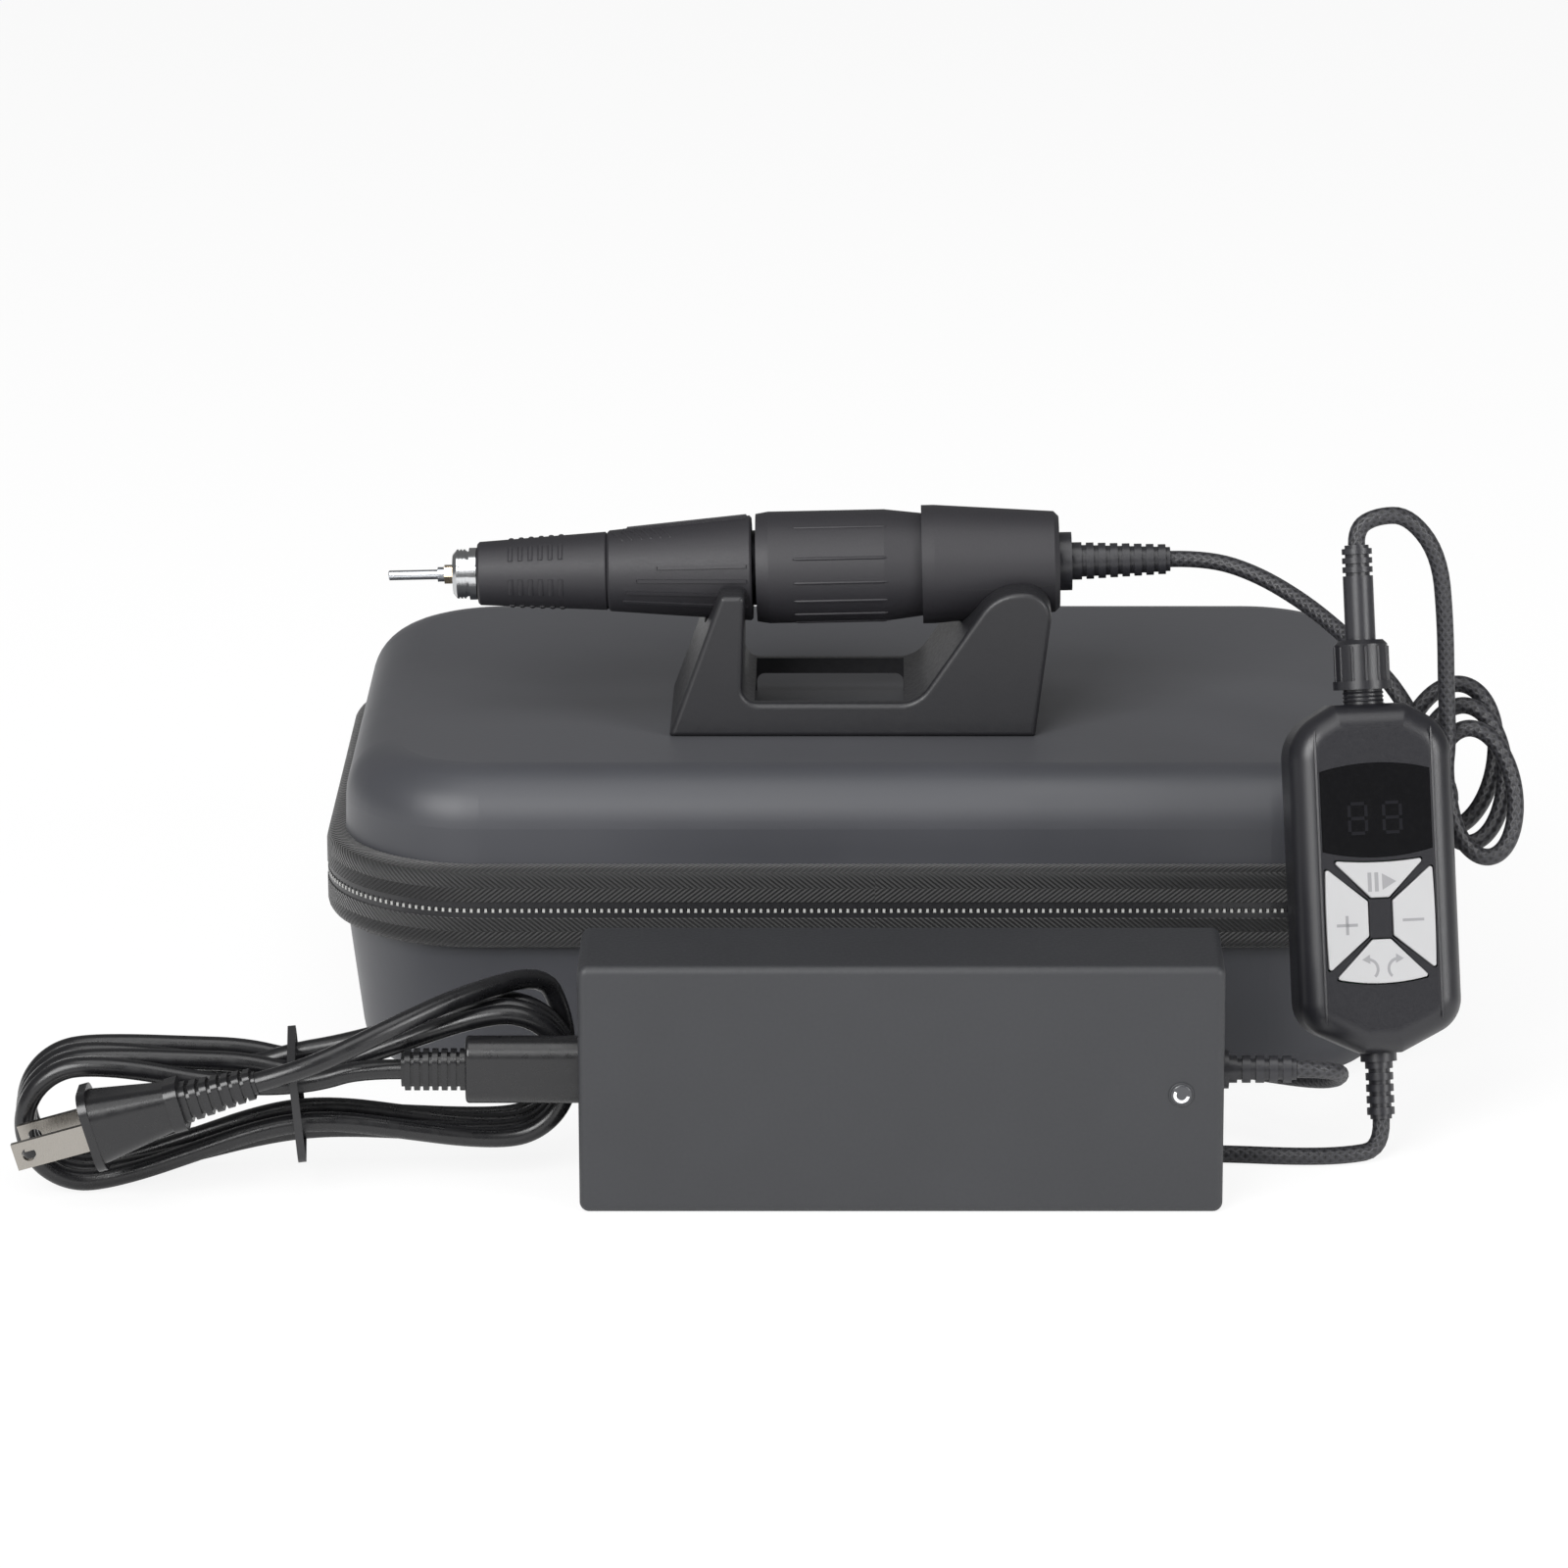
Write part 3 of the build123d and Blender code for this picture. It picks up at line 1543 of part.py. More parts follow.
with BuildPart() as lead_connector:
    with BuildSketch(connector_plane.offset(-adapter_left)):
        RectangleRounded(connector_width, connector_height, connector_width * inlet_round_share)
    extrude(amount=connector_length)
    fillet(lead_connector.faces().sort_by(Axis.X)[0].edges(), connector_edge)
    with BuildSketch(connector_plane.offset(-connector_start)):
        RectangleRounded(inlet_bore_width, inlet_bore_height, inlet_bore_width * inlet_round_share)
    extrude(amount=connector_pocket)
    with BuildSketch(connector_plane.offset(-connector_start)):
        with Locations((0, -inlet_pin_spacing / 2), (0, inlet_pin_spacing / 2)):
            Circle(socket_hole)
    extrude(amount=connector_pocket + connector_edge, mode=Mode.SUBTRACT)
    rib_pitch = connector_relief / relief_ribs
    for i in range(relief_ribs):
        with BuildSketch(connector_plane.offset(-connector_back + i * rib_pitch)):
            RectangleRounded(
                connector_relief_width, connector_relief_height, connector_relief_width * inlet_round_share
            )
        extrude(amount=rib_pitch * ring_share)
        with BuildSketch(connector_plane.offset(-connector_back + (i + ring_share) * rib_pitch)):
            RectangleRounded(
                connector_relief_width - relief_rib_depth,
                connector_relief_height - 2 * relief_rib_depth,
                (connector_relief_width - relief_rib_depth) * inlet_round_share,
            )
        extrude(amount=rib_pitch * (1 - ring_share))
lead_connector.part.label = "lead_connector"
export_step(lead_connector.part, "parts/lead_connector.step")

plug_line = (Vector(*plug_tail) - Vector(*plug_tip)).normalized()
plug_across = Vector(0, -1, 0)
plug_plane = Plane(origin=plug_tip, x_dir=plug_across, z_dir=plug_line)
face_start = blade_length
body_start = face_start + plug_face
relief_start = body_start + plug_body_length
plug_length = (Vector(*plug_tail) - Vector(*plug_tip)).length
relief_length = plug_length - relief_start
plug_rib_pitch = relief_length / relief_ribs

with BuildPart() as mains_plug:
    with BuildSketch(plug_plane.offset(face_start)):
        RectangleRounded(plug_face_width, plug_face_height, plug_face_width * plug_round_share)
    extrude(amount=plug_face)
    with BuildSketch(plug_plane.offset(body_start)):
        RectangleRounded(plug_body_width, plug_body_height, plug_body_width * plug_round_share)
    with BuildSketch(plug_plane.offset(relief_start - plug_collar)):
        RectangleRounded(plug_waist_width, plug_waist_height, plug_waist_width * plug_round_share)
    loft()
    with BuildSketch(plug_plane.offset(relief_start - plug_collar)):
        RectangleRounded(plug_collar_width, plug_collar_height, plug_collar_width * plug_round_share)
    extrude(amount=plug_collar)
    for i in range(relief_ribs):
        shrink = 1 - plug_relief_taper_share * i / (relief_ribs - 1)
        with BuildSketch(plug_plane.offset(relief_start + i * plug_rib_pitch)):
            RectangleRounded(
                plug_relief_width * shrink,
                plug_relief_height * shrink,
                plug_relief_width * plug_round_share * shrink,
            )
        extrude(amount=plug_rib_pitch * ring_share)
        with BuildSketch(plug_plane.offset(relief_start + (i + ring_share) * plug_rib_pitch)):
            RectangleRounded(
                plug_relief_width * shrink - relief_rib_depth,
                plug_relief_height * shrink - 2 * relief_rib_depth,
                plug_relief_width * plug_round_share * shrink,
            )
        extrude(amount=plug_rib_pitch * (1 - ring_share))
    with BuildSketch(plug_plane.offset(face_start)):
        with Locations((-blade_spacing / 2, 0), (blade_spacing / 2, 0)):
            Rectangle(blade_thickness + 2 * seat_gap, blade_width + 2 * seat_gap)
    extrude(amount=blade_root + seat_gap, mode=Mode.SUBTRACT)
mains_plug.part.label = "mains_plug"
export_step(mains_plug.part, "parts/mains_plug.step")

with BuildPart() as plug_blades:
    with BuildSketch(plug_plane):
        with Locations((-blade_spacing / 2, 0), (blade_spacing / 2, 0)):
            Rectangle(blade_thickness, blade_width)
    extrude(amount=blade_length + blade_root)
    with BuildSketch(Plane(origin=plug_tip, x_dir=plug_line, z_dir=plug_across)):
        with Locations((blade_hole_place, 0)):
            Circle(blade_hole_radius)
    extrude(amount=plug_face_width, both=True, mode=Mode.SUBTRACT)
plug_blades.part.label = "plug_blades"
export_step(plug_blades.part, "parts/plug_blades.step")


# Cords: free stretches follow points chosen by hand, with arcs between straight runs
def bend_radii(name, points):
    """The radius of each corner: a share of the shorter run over the tangent of half the turn."""
    radii = []
    for before, corner, after in zip(points, points[1:], points[2:]):
        run_in = corner - before
        run_out = after - corner
        half_turn = radians(run_in.get_angle(run_out)) / 2
        radii.append(bend_share * min(run_in.length, run_out.length) / tan(half_turn))
    print(name, "radii", [round(radius, 1) for radius in radii])
    return radii


def report_tube(name, part, radius, length):
    """Print how the tube's volume compares with its section times its length."""
    expected = pi * radius**2 * length
    print(name, "length", round(length, 1), "volume share", round(part.volume / expected, 4))


def free_cord(name, points, radius):
    """A cord along straight runs joined by tangent arcs."""
    points = [Vector(*point) for point in points]
    with BuildPart() as tube:
        with BuildLine() as route:
            FilletPolyline(*points, radius=bend_radii(name, points))
        wire = route.wires()[0]
        with BuildSketch(Plane(origin=wire @ 0, z_dir=wire % 0)):
            Circle(radius)
        sweep(path=wire)
    report_tube(name, tube.part, radius, wire.length)
    return tube.part


def wound_cord(name, points, tangents, radius):
    """A cord through points with tangents, each stretch between two of them two tangent arcs."""
    with BuildPart() as tube:
        with BuildLine() as route:
            for start, end, leave, arrive in zip(points, points[1:], tangents, tangents[1:]):
                chord = end - start
                swing = leave + arrive
                square = 2 * (1 - leave.dot(arrive))
                toward = chord.dot(swing)
                if square < flat_turn:
                    reach = chord.dot(chord) / (4 * chord.dot(arrive))
                else:
                    reach = (-toward + (toward**2 + square * chord.dot(chord)) ** 0.5) / square
                first = start + leave * reach
                second = end - arrive * reach
                middle = (first + second) / 2
                TangentArc(start, middle, tangent=leave)
                TangentArc(middle, end, tangent=second - first)
        wire = route.wires()[0]
        with BuildSketch(Plane(origin=wire @ 0, z_dir=wire % 0)):
            Circle(radius)
        sweep(path=wire)
    report_tube(name, tube.part, radius, wire.length)
    report_gap(name, wire, radius)
    return tube.part


def report_gap(name, wire, radius):
    """Print the least gap that the wound tube keeps to itself, measured on points."""
    step = radius / 2
    count = int(wire.length / step)
    places = [wire @ (i / count) for i in range(count + 1)]
    skip = int(near_radii * radius / step)
    least = min(
        (places[j] - places[i]).length for i in range(len(places)) for j in range(i + skip, len(places), 2)
    )
    print(name, "least gap to itself", round(least - 2 * radius, 2))


# Handpiece cord: from the gland to the loops beside the controller, then up into the plug
gland_tip = handpiece_plane.from_local_coords(Vector(boot_end, 0, 0))
gland_out = handpiece_plane.from_local_coords(Vector(boot_end + lead_out, 0, 0))
cord_points = [
    tuple(gland_tip),
    tuple(gland_out),
    (91.0, -31.0, 113.9),
    (102.5, -39.0, 108.8),
    (112.5, -49.0, 102.5),
    (119.0, -58.5, 97.6),
    (123.6, -65.2, 93.4),
    (127.0, -69.0, 88.0),
]
with BuildPart() as handpiece_cord:
    add(free_cord("handpiece_cord", cord_points, cord_radius))
handpiece_cord.part.label = "handpiece_cord"
export_step(handpiece_cord.part, "parts/handpiece_cord.step")

bundle_plane = Plane(
    origin=(bundle_x, bundle_y, bundle_z), x_dir=(1, 0, 0), z_dir=(0, -cos(lean), sin(lean))
)


def bundle_place(quarter):
    """A place on the loops, by quarter turns from the right side of the first loop."""
    share = quarter / bundle_quarters
    angle = (quarter + 1) * pi / 2
    half_width = bundle_start_half[0] + (bundle_end_half[0] - bundle_start_half[0]) * share
    half_height = bundle_start_half[1] + (bundle_end_half[1] - bundle_start_half[1]) * share
    across_loop = bundle_start_centre[0] + (bundle_end_centre[0] - bundle_start_centre[0]) * share
    up_loop = bundle_start_centre[1] + (bundle_end_centre[1] - bundle_start_centre[1]) * share
    leaning = radians(bundle_start_tilt + (bundle_end_tilt - bundle_start_tilt) * share)
    aside = half_width * sin(angle)
    along_loop = half_height * cos(angle)
    return bundle_plane.from_local_coords(
        Vector(
            across_loop + aside * cos(leaning) + along_loop * sin(leaning),
            up_loop + along_loop * cos(leaning) - aside * sin(leaning),
            bundle_back + bundle_pitch * quarter / 4,
        )
    )


def tangent_at(place, quarter):
    """The unit tangent of a winding formula at one of its quarter turns."""
    return (place(quarter + quarter_step) - place(quarter - quarter_step)).normalized()


cord_end = Vector(*cord_points[-1])
cord_heading = (cord_end - Vector(*cord_points[-2])).normalized()
bundle_steps = [bundle_first] + list(range(1, bundle_quarters + 1))
bundle_points = [cord_end + cord_heading * split_gap]
bundle_points += [bundle_place(step) for step in bundle_steps]
bundle_tangents = [cord_heading]
bundle_tangents += [tangent_at(bundle_place, step) for step in bundle_steps]
with BuildPart() as cord_bundle:
    add(wound_cord("cord_bundle", bundle_points, bundle_tangents, cord_radius))
cord_bundle.part.label = "cord_bundle"
export_step(cord_bundle.part, "parts/cord_bundle.step")

bundle_exit = bundle_points[-1]
plug_tip_place = controller_middle.from_local_coords(Vector(0, plug_end, 0))
plug_out_place = controller_middle.from_local_coords(Vector(0, plug_end + plug_lead_out, 0))
plug_run_points = [
    tuple(bundle_exit),
    tuple(bundle_exit + bundle_tangents[-1] * lead_out),
    (133.4, -89.3, 88.5),
    (132.8, -87.8, 101.5),
    (132.3, -87.4, 117.0),
    (130.6, -87.6, 133.2),
    (123.2, -88.2, 142.9),
    (115.9, -88.9, 142.9),
    tuple(plug_out_place),
    tuple(plug_tip_place),
]
with BuildPart() as cord_plug_run:
    add(free_cord("cord_plug_run", plug_run_points, cord_radius))
cord_plug_run.part.label = "cord_plug_run"
export_step(cord_plug_run.part, "parts/cord_plug_run.step")

# Adapter cord: out of the adapter's end, coiled behind it, and on to the controller
dc_tip = Vector(adapter_right + dc_gland_length, adapter_y, inlet_z)
dc_quarters = dc_coil_layers * dc_coil_spiral_quarters + (dc_coil_layers - 1) * 2
dc_layer_quarters = dc_coil_spiral_quarters + 2


def dc_coil_place(quarter):
    """A place on the adapter cord's coil, by quarter turns from its back, top layer first."""
    inside = min(max(quarter, 0), dc_quarters)
    layer = min(int(inside // dc_layer_quarters), dc_coil_layers - 1)
    into = inside - layer * dc_layer_quarters
    wound = min(into, dc_coil_spiral_quarters) * dc_coil_pitch / 4
    span = dc_coil_spiral_quarters * dc_coil_pitch / 4
    radius = dc_coil_outer - (wound if layer % 2 == 0 else span - wound)
    climb = max(into - dc_coil_spiral_quarters, 0) / 2
    height = dc_coil_floor + (dc_coil_layers - 1 - layer - climb) * dc_coil_rise
    angle = pi / 2 + quarter * pi / 2
    return Vector(dc_coil_x + radius * cos(angle), dc_coil_y + radius * sin(angle), height)


dc_coil_points = [dc_coil_place(quarter) for quarter in range(dc_quarters + 1)]
dc_coil_tangents = [tangent_at(dc_coil_place, quarter) for quarter in range(dc_quarters + 1)]
dc_coil_tangents[0] = Vector(-1, 0, 0)
dc_coil_tangents[-1] = Vector(1, 0, 0)
with BuildPart() as dc_coil:
    add(wound_cord("dc_coil", dc_coil_points, dc_coil_tangents, cord_radius))
dc_coil.part.label = "dc_coil"
export_step(dc_coil.part, "parts/dc_coil.step")

dc_out_points = [
    tuple(dc_tip),
    tuple(dc_tip + Vector(dc_lead_out, 0, 0)),
    (107.0, -145.5, 26.4),
    (104.5, -134.5, 20.6),
    (91.0, -120.0, 17.4),
    (72.0, -103.0, 16.0),
    (52.0, -88.5, 15.8),
    (34.0, -83.8, 15.85),
    tuple(dc_coil_points[0]),
]
with BuildPart() as dc_run_out:
    add(free_cord("dc_run_out", dc_out_points, cord_radius))
dc_run_out.part.label = "dc_run_out"
export_step(dc_run_out.part, "parts/dc_run_out.step")

controller_tip = controller_middle.from_local_coords(Vector(0, -controller_gland_tip, 0))
controller_out = controller_middle.from_local_coords(Vector(0, -controller_gland_tip - gland_lead_out, 0))
dc_in_points = [
    tuple(dc_coil_points[-1]),
    (36.0, -132.8, 2.05),
    (58.0, -131.2, 2.05),
    (80.0, -131.4, 2.05),
    (97.0, -133.6, 2.05),
    (108.5, -133.0, 2.1),
    tuple(controller_out),
    tuple(controller_tip),
]
with BuildPart() as dc_run_in:
    add(free_cord("dc_run_in", dc_in_points, cord_radius))
dc_run_in.part.label = "dc_run_in"
export_step(dc_run_in.part, "parts/dc_run_in.step")

# Mains lead: a tied hank that stands on edge beside the adapter
hank_across = Vector(
    cos(radians(hank_rise)) * cos(radians(hank_turn)),
    cos(radians(hank_rise)) * sin(radians(hank_turn)),
    sin(radians(hank_rise)),
)
hank_normal = Vector(sin(radians(hank_turn)), -cos(radians(hank_turn)), 0)
hank_plane = Plane(origin=(hank_x, hank_y, hank_z), x_dir=hank_across, z_dir=hank_normal)
hank_first = 2
hank_last = 32


def hank_step(eighth):
    """A place and a heading on the hank, by eighths of a turn from the top of its waist."""
    layer = hank_front - hank_pitch * (hank_last - eighth) / 8
    waist = hank_waists[eighth // 8 % 2]
    right_top = hank_right - hank_right_half
    left_top = hank_left_half - hank_left
    places = [
        ((0, waist), (1, 0)),
        ((right_top, hank_right_half), (1, 0)),
        ((hank_right, 0), (0, -1)),
        ((right_top, -hank_right_half), (-1, 0)),
        ((0, -waist), (-1, 0)),
        ((left_top, -hank_left_half), (-1, 0)),
        ((-hank_left, 0), (0, 1)),
        ((left_top, hank_left_half), (1, 0)),
    ]
    place, heading = places[eighth % 8]
    if eighth == hank_last:
        place = (0, hank_lift)
    return Vector(*place, layer), Vector(*heading, 0)


def hank_direction(local):
    """A direction in the hank's plane as a direction in the part."""
    return hank_plane.from_local_coords(local) - hank_plane.origin


connector_tip = Vector(connector_tip_x, adapter_y, inlet_z)
hank_eighths = range(hank_first, hank_last + 1)
hank_points = [hank_plane.from_local_coords(hank_step(eighth)[0]) for eighth in hank_eighths]
hank_tangents = [hank_direction(hank_step(eighth)[1]) for eighth in hank_eighths]
hank_points.append(connector_tip)
hank_tangents.append(Vector(1, 0, 0))
with BuildPart() as lead_hank:
    add(wound_cord("lead_hank", hank_points, hank_tangents, lead_radius))
lead_hank.part.label = "lead_hank"
export_step(lead_hank.part, "parts/lead_hank.step")

lead_points = [
    plug_tail,
    tuple(Vector(*plug_tail) + plug_line * lead_out),
    (-121.0, -162.0, 36.4),
    (-107.5, -155.5, 41.5),
    (-92.5, -143.5, 45.0),
    (-76.0, -128.5, 45.0),
    tuple(hank_points[0] - hank_tangents[0] * lead_out),
    tuple(hank_points[0]),
]
with BuildPart() as lead_plug_run:
    add(free_cord("lead_plug_run", lead_points, lead_radius))
lead_plug_run.part.label = "lead_plug_run"
export_step(lead_plug_run.part, "parts/lead_plug_run.step")

# Tie: a loop of strap round the waist of the hank and the two strands in front of it
tie_half = hank_waists[0] + lead_radius + seat_gap
tie_back = hank_step(hank_first)[0].Z - lead_radius - seat_gap
tie_plane = Plane(origin=hank_plane.origin, x_dir=hank_normal, z_dir=hank_across)

with BuildPart() as lead_tie:
    with BuildSketch(tie_plane.offset(-tie_width / 2)):
        with Locations(((tie_front + tie_back) / 2, 0)):
            RectangleRounded(
                tie_front - tie_back + 2 * strap_thickness,
                2 * (tie_half + strap_thickness),
                lead_radius + strap_thickness,
            )
            RectangleRounded(tie_front - tie_back, 2 * tie_half, lead_radius, mode=Mode.SUBTRACT)
    extrude(amount=tie_width)
lead_tie.part.label = "lead_tie"
export_step(lead_tie.part, "parts/lead_tie.step")
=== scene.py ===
"""Portable nail drill kit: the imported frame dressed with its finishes, cords and fine detail."""

import json
import logging
import math
from dataclasses import dataclass, field
from enum import Enum

import bmesh
import bpy
from mathutils import Matrix, Vector


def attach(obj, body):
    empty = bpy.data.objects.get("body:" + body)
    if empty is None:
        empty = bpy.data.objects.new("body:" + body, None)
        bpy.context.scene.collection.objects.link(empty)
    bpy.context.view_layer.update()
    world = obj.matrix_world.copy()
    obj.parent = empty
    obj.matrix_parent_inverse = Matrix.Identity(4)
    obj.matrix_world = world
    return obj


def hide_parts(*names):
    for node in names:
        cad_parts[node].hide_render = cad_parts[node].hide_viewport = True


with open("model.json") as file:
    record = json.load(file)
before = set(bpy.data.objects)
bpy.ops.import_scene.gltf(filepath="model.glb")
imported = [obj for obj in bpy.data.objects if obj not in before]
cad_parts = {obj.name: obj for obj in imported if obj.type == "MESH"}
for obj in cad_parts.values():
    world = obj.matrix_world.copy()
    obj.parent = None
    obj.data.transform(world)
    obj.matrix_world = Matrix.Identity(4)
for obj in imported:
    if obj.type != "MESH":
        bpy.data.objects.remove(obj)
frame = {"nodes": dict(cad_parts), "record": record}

LOG = logging.getLogger("nail_drill")
MM = 0.001
WHITE = (1.0, 1.0, 1.0, 1.0)


class Body(Enum):
    """The moving bodies that pieces ride on."""

    CASE = "case_base"
    LID = "lid"
    HANDPIECE = "handpiece"
    CHUCK = "chuck_sleeve"
    BUTTON_TOP = "button_top"
    BUTTON_LEFT = "button_left"
    BUTTON_BOTTOM = "button_bottom"
    BUTTON_RIGHT = "button_right"


def linear(colour: str) -> tuple[float, float, float, float]:
    """Turn an sRGB hex colour into a linear one.

    Args:
        colour: Six hex digits after a hash sign.

    Returns:
        Red, green, blue and an alpha of one.
    """
    parts = [int(colour[i : i + 2], 16) / 255 for i in (1, 3, 5)]
    lin = [c / 12.92 if c <= 0.04045 else ((c + 0.055) / 1.055) ** 2.4 for c in parts]
    return (*lin, 1.0)


def add_node(
    tree: bpy.types.NodeTree, kind: str, settings: dict | None = None, links: dict | None = None
) -> bpy.types.Node:
    """Add a node with its settings and its links.

    Args:
        tree: The tree that gets the node.
        kind: The node's type name.
        settings: Values by the name of a property or input, or by an input's number.
        links: Output sockets by the name or number of the input they go to.

    Returns:
        The new node.
    """
    node = tree.nodes.new(kind)
    for key, value in (settings or {}).items():
        if isinstance(key, str) and hasattr(node, key):
            setattr(node, key, value)
        else:
            node.inputs[key].default_value = value
    for key, socket in (links or {}).items():
        tree.links.new(socket, node.inputs[key])
    return node


def blank_material(name: str) -> tuple[bpy.types.Material, bpy.types.NodeTree]:
    """Make an empty node material.

    Args:
        name: The material's name.

    Returns:
        The material and its node tree.
    """
    material = bpy.data.materials.new(name)
    material.use_nodes = True
    material.node_tree.nodes.clear()
    return material, material.node_tree


def finish_surface(tree: bpy.types.NodeTree, settings: dict, links: dict) -> None:
    """Add the shader and the output to a material's tree.

    Args:
        tree: The material's tree.
        settings: Values for the shader's inputs.
        links: Output sockets for the shader's inputs.
    """
    shader = add_node(tree, "ShaderNodeBsdfPrincipled", settings, links)
    add_node(tree, "ShaderNodeOutputMaterial", links={"Surface": shader.outputs[0]})


def mixed_tone(
    tree: bpy.types.NodeTree, low: tuple, high: tuple, share: bpy.types.NodeSocket
) -> bpy.types.NodeSocket:
    """Mix two linear colours.

    Args:
        tree: The material's tree.
        low: The colour where the share is nothing.
        high: The colour where the share is whole.
        share: The socket that gives the share.

    Returns:
        The mixed colour's socket.
    """
    settings = {"data_type": "RGBA", 6: low, 7: high}
    return add_node(tree, "ShaderNodeMix", settings, {0: share}).outputs[2]


def spread_gloss(
    tree: bpy.types.NodeTree,
    value: bpy.types.NodeSocket,
    span: tuple[float, float],
    source: tuple[float, float] = (0.3, 0.7),
) -> bpy.types.NodeSocket:
    """Turn a pattern into a roughness.

    Args:
        tree: The material's tree.
        value: The pattern's socket.
        span: The least and the greatest roughness.
        source: The pattern's values that give them.

    Returns:
        The roughness's socket.
    """
    settings = {"From Min": source[0], "From Max": source[1], "To Min": span[0], "To Max": span[1]}
    return add_node(tree, "ShaderNodeMapRange", settings, {"Value": value}).outputs[0]


def raised(
    tree: bpy.types.NodeTree, height: bpy.types.NodeSocket, strength: float, depth_mm: float
) -> bpy.types.NodeSocket:
    """Turn a pattern into relief.

    Args:
        tree: The material's tree.
        height: The pattern's socket.
        strength: How much of the relief shows.
        depth_mm: The relief's real depth.

    Returns:
        The normal's socket.
    """
    settings = {"Strength": strength, "Distance": depth_mm * MM}
    return add_node(tree, "ShaderNodeBump", settings, {"Height": height}).outputs[0]


@dataclass(frozen=True)
class Moulded:
    """A moulded plastic or rubber: one colour with a fine spark-eroded grain in its gloss and relief."""

    name: str
    colour: str
    roughness: float
    grain_mm: float = 0.35
    relief_mm: float = 0.02
    mottle: float = 0.12
    coat: float = 0.0

    def build(self) -> bpy.types.Material:
        """Make the material."""
        material, tree = blank_material(self.name)
        place = add_node(tree, "ShaderNodeTexCoord").outputs["Object"]
        settings = {"Scale": 1 / (self.grain_mm * MM * 2), "Detail": 3.0, "Roughness": 0.6}
        grain = add_node(tree, "ShaderNodeTexNoise", settings, {"Vector": place}).outputs["Fac"]
        cloud = add_node(tree, "ShaderNodeTexNoise", {"Scale": 45.0, "Detail": 2.0}, {"Vector": place})
        low = [c * (1 - self.mottle) for c in linear(self.colour)[:3]] + [1.0]
        high = [min(1.0, c * (1 + self.mottle)) for c in linear(self.colour)[:3]] + [1.0]
        tone = mixed_tone(tree, low, high, cloud.outputs["Fac"])
        gloss = spread_gloss(tree, grain, (self.roughness - 0.05, self.roughness + 0.07))
        relief = raised(tree, grain, 0.6, self.relief_mm)
        settings = {"IOR": 1.5, "Coat Weight": self.coat, "Coat Roughness": 0.08}
        finish_surface(tree, settings, {"Base Color": tone, "Roughness": gloss, "Normal": relief})
        return material


@dataclass(frozen=True)
class FoamShell:
    """Thermoformed foam board under a smooth coated cloth: satin, with a shallow leather grain."""

    name: str = "coated_foam_board"
    colour: str = "#3b3c41"
    edge_colour: str = "#343539"
    grain_mm: float = 1.1

    def build(self) -> bpy.types.Material:
        """Make the material."""
        material, tree = blank_material(self.name)
        place = add_node(tree, "ShaderNodeTexCoord").outputs["Object"]
        settings = {"feature": "SMOOTH_F1", "Scale": 1 / (self.grain_mm * MM), "Smoothness": 0.8}
        cells = add_node(tree, "ShaderNodeTexVoronoi", settings, {"Vector": place})
        settings = {"Scale": 22.0, "Detail": 3.0, "Roughness": 0.5}
        cloud = add_node(tree, "ShaderNodeTexNoise", settings, {"Vector": place}).outputs["Fac"]
        tone = mixed_tone(tree, linear(self.edge_colour), linear(self.colour), cloud)
        gloss = spread_gloss(tree, cloud, (0.40, 0.50), (0.25, 0.75))
        relief = raised(tree, cells.outputs["Distance"], 0.25, 0.04)
        settings = {"IOR": 1.5, "Sheen Weight": 0.08, "Sheen Roughness": 0.4}
        finish_surface(tree, settings, {"Base Color": tone, "Roughness": gloss, "Normal": relief})
        return material


@dataclass(frozen=True)
class Metal:
    """A turned or ground metal with fine tool marks in its gloss."""

    name: str
    colour: str
    roughness: float
    marks_mm: float = 0.15
    relief_mm: float = 0.004
    spread: float = 0.06

    def build(self) -> bpy.types.Material:
        """Make the material."""
        material, tree = blank_material(self.name)
        place = add_node(tree, "ShaderNodeTexCoord").outputs["Object"]
        stretch = add_node(tree, "ShaderNodeMapping", {"Scale": (1.0, 0.08, 0.08)}, {"Vector": place})
        settings = {"Scale": 1 / (self.marks_mm * MM), "Detail": 2.0}
        marks = add_node(tree, "ShaderNodeTexNoise", settings, {"Vector": stretch.outputs[0]}).outputs["Fac"]
        gloss = spread_gloss(tree, marks, (self.roughness, self.roughness + self.spread))
        relief = raised(tree, marks, 0.3, self.relief_mm)
        settings = {"Base Color": linear(self.colour), "Metallic": 1.0}
        finish_surface(tree, settings, {"Roughness": gloss, "Normal": relief})
        return material


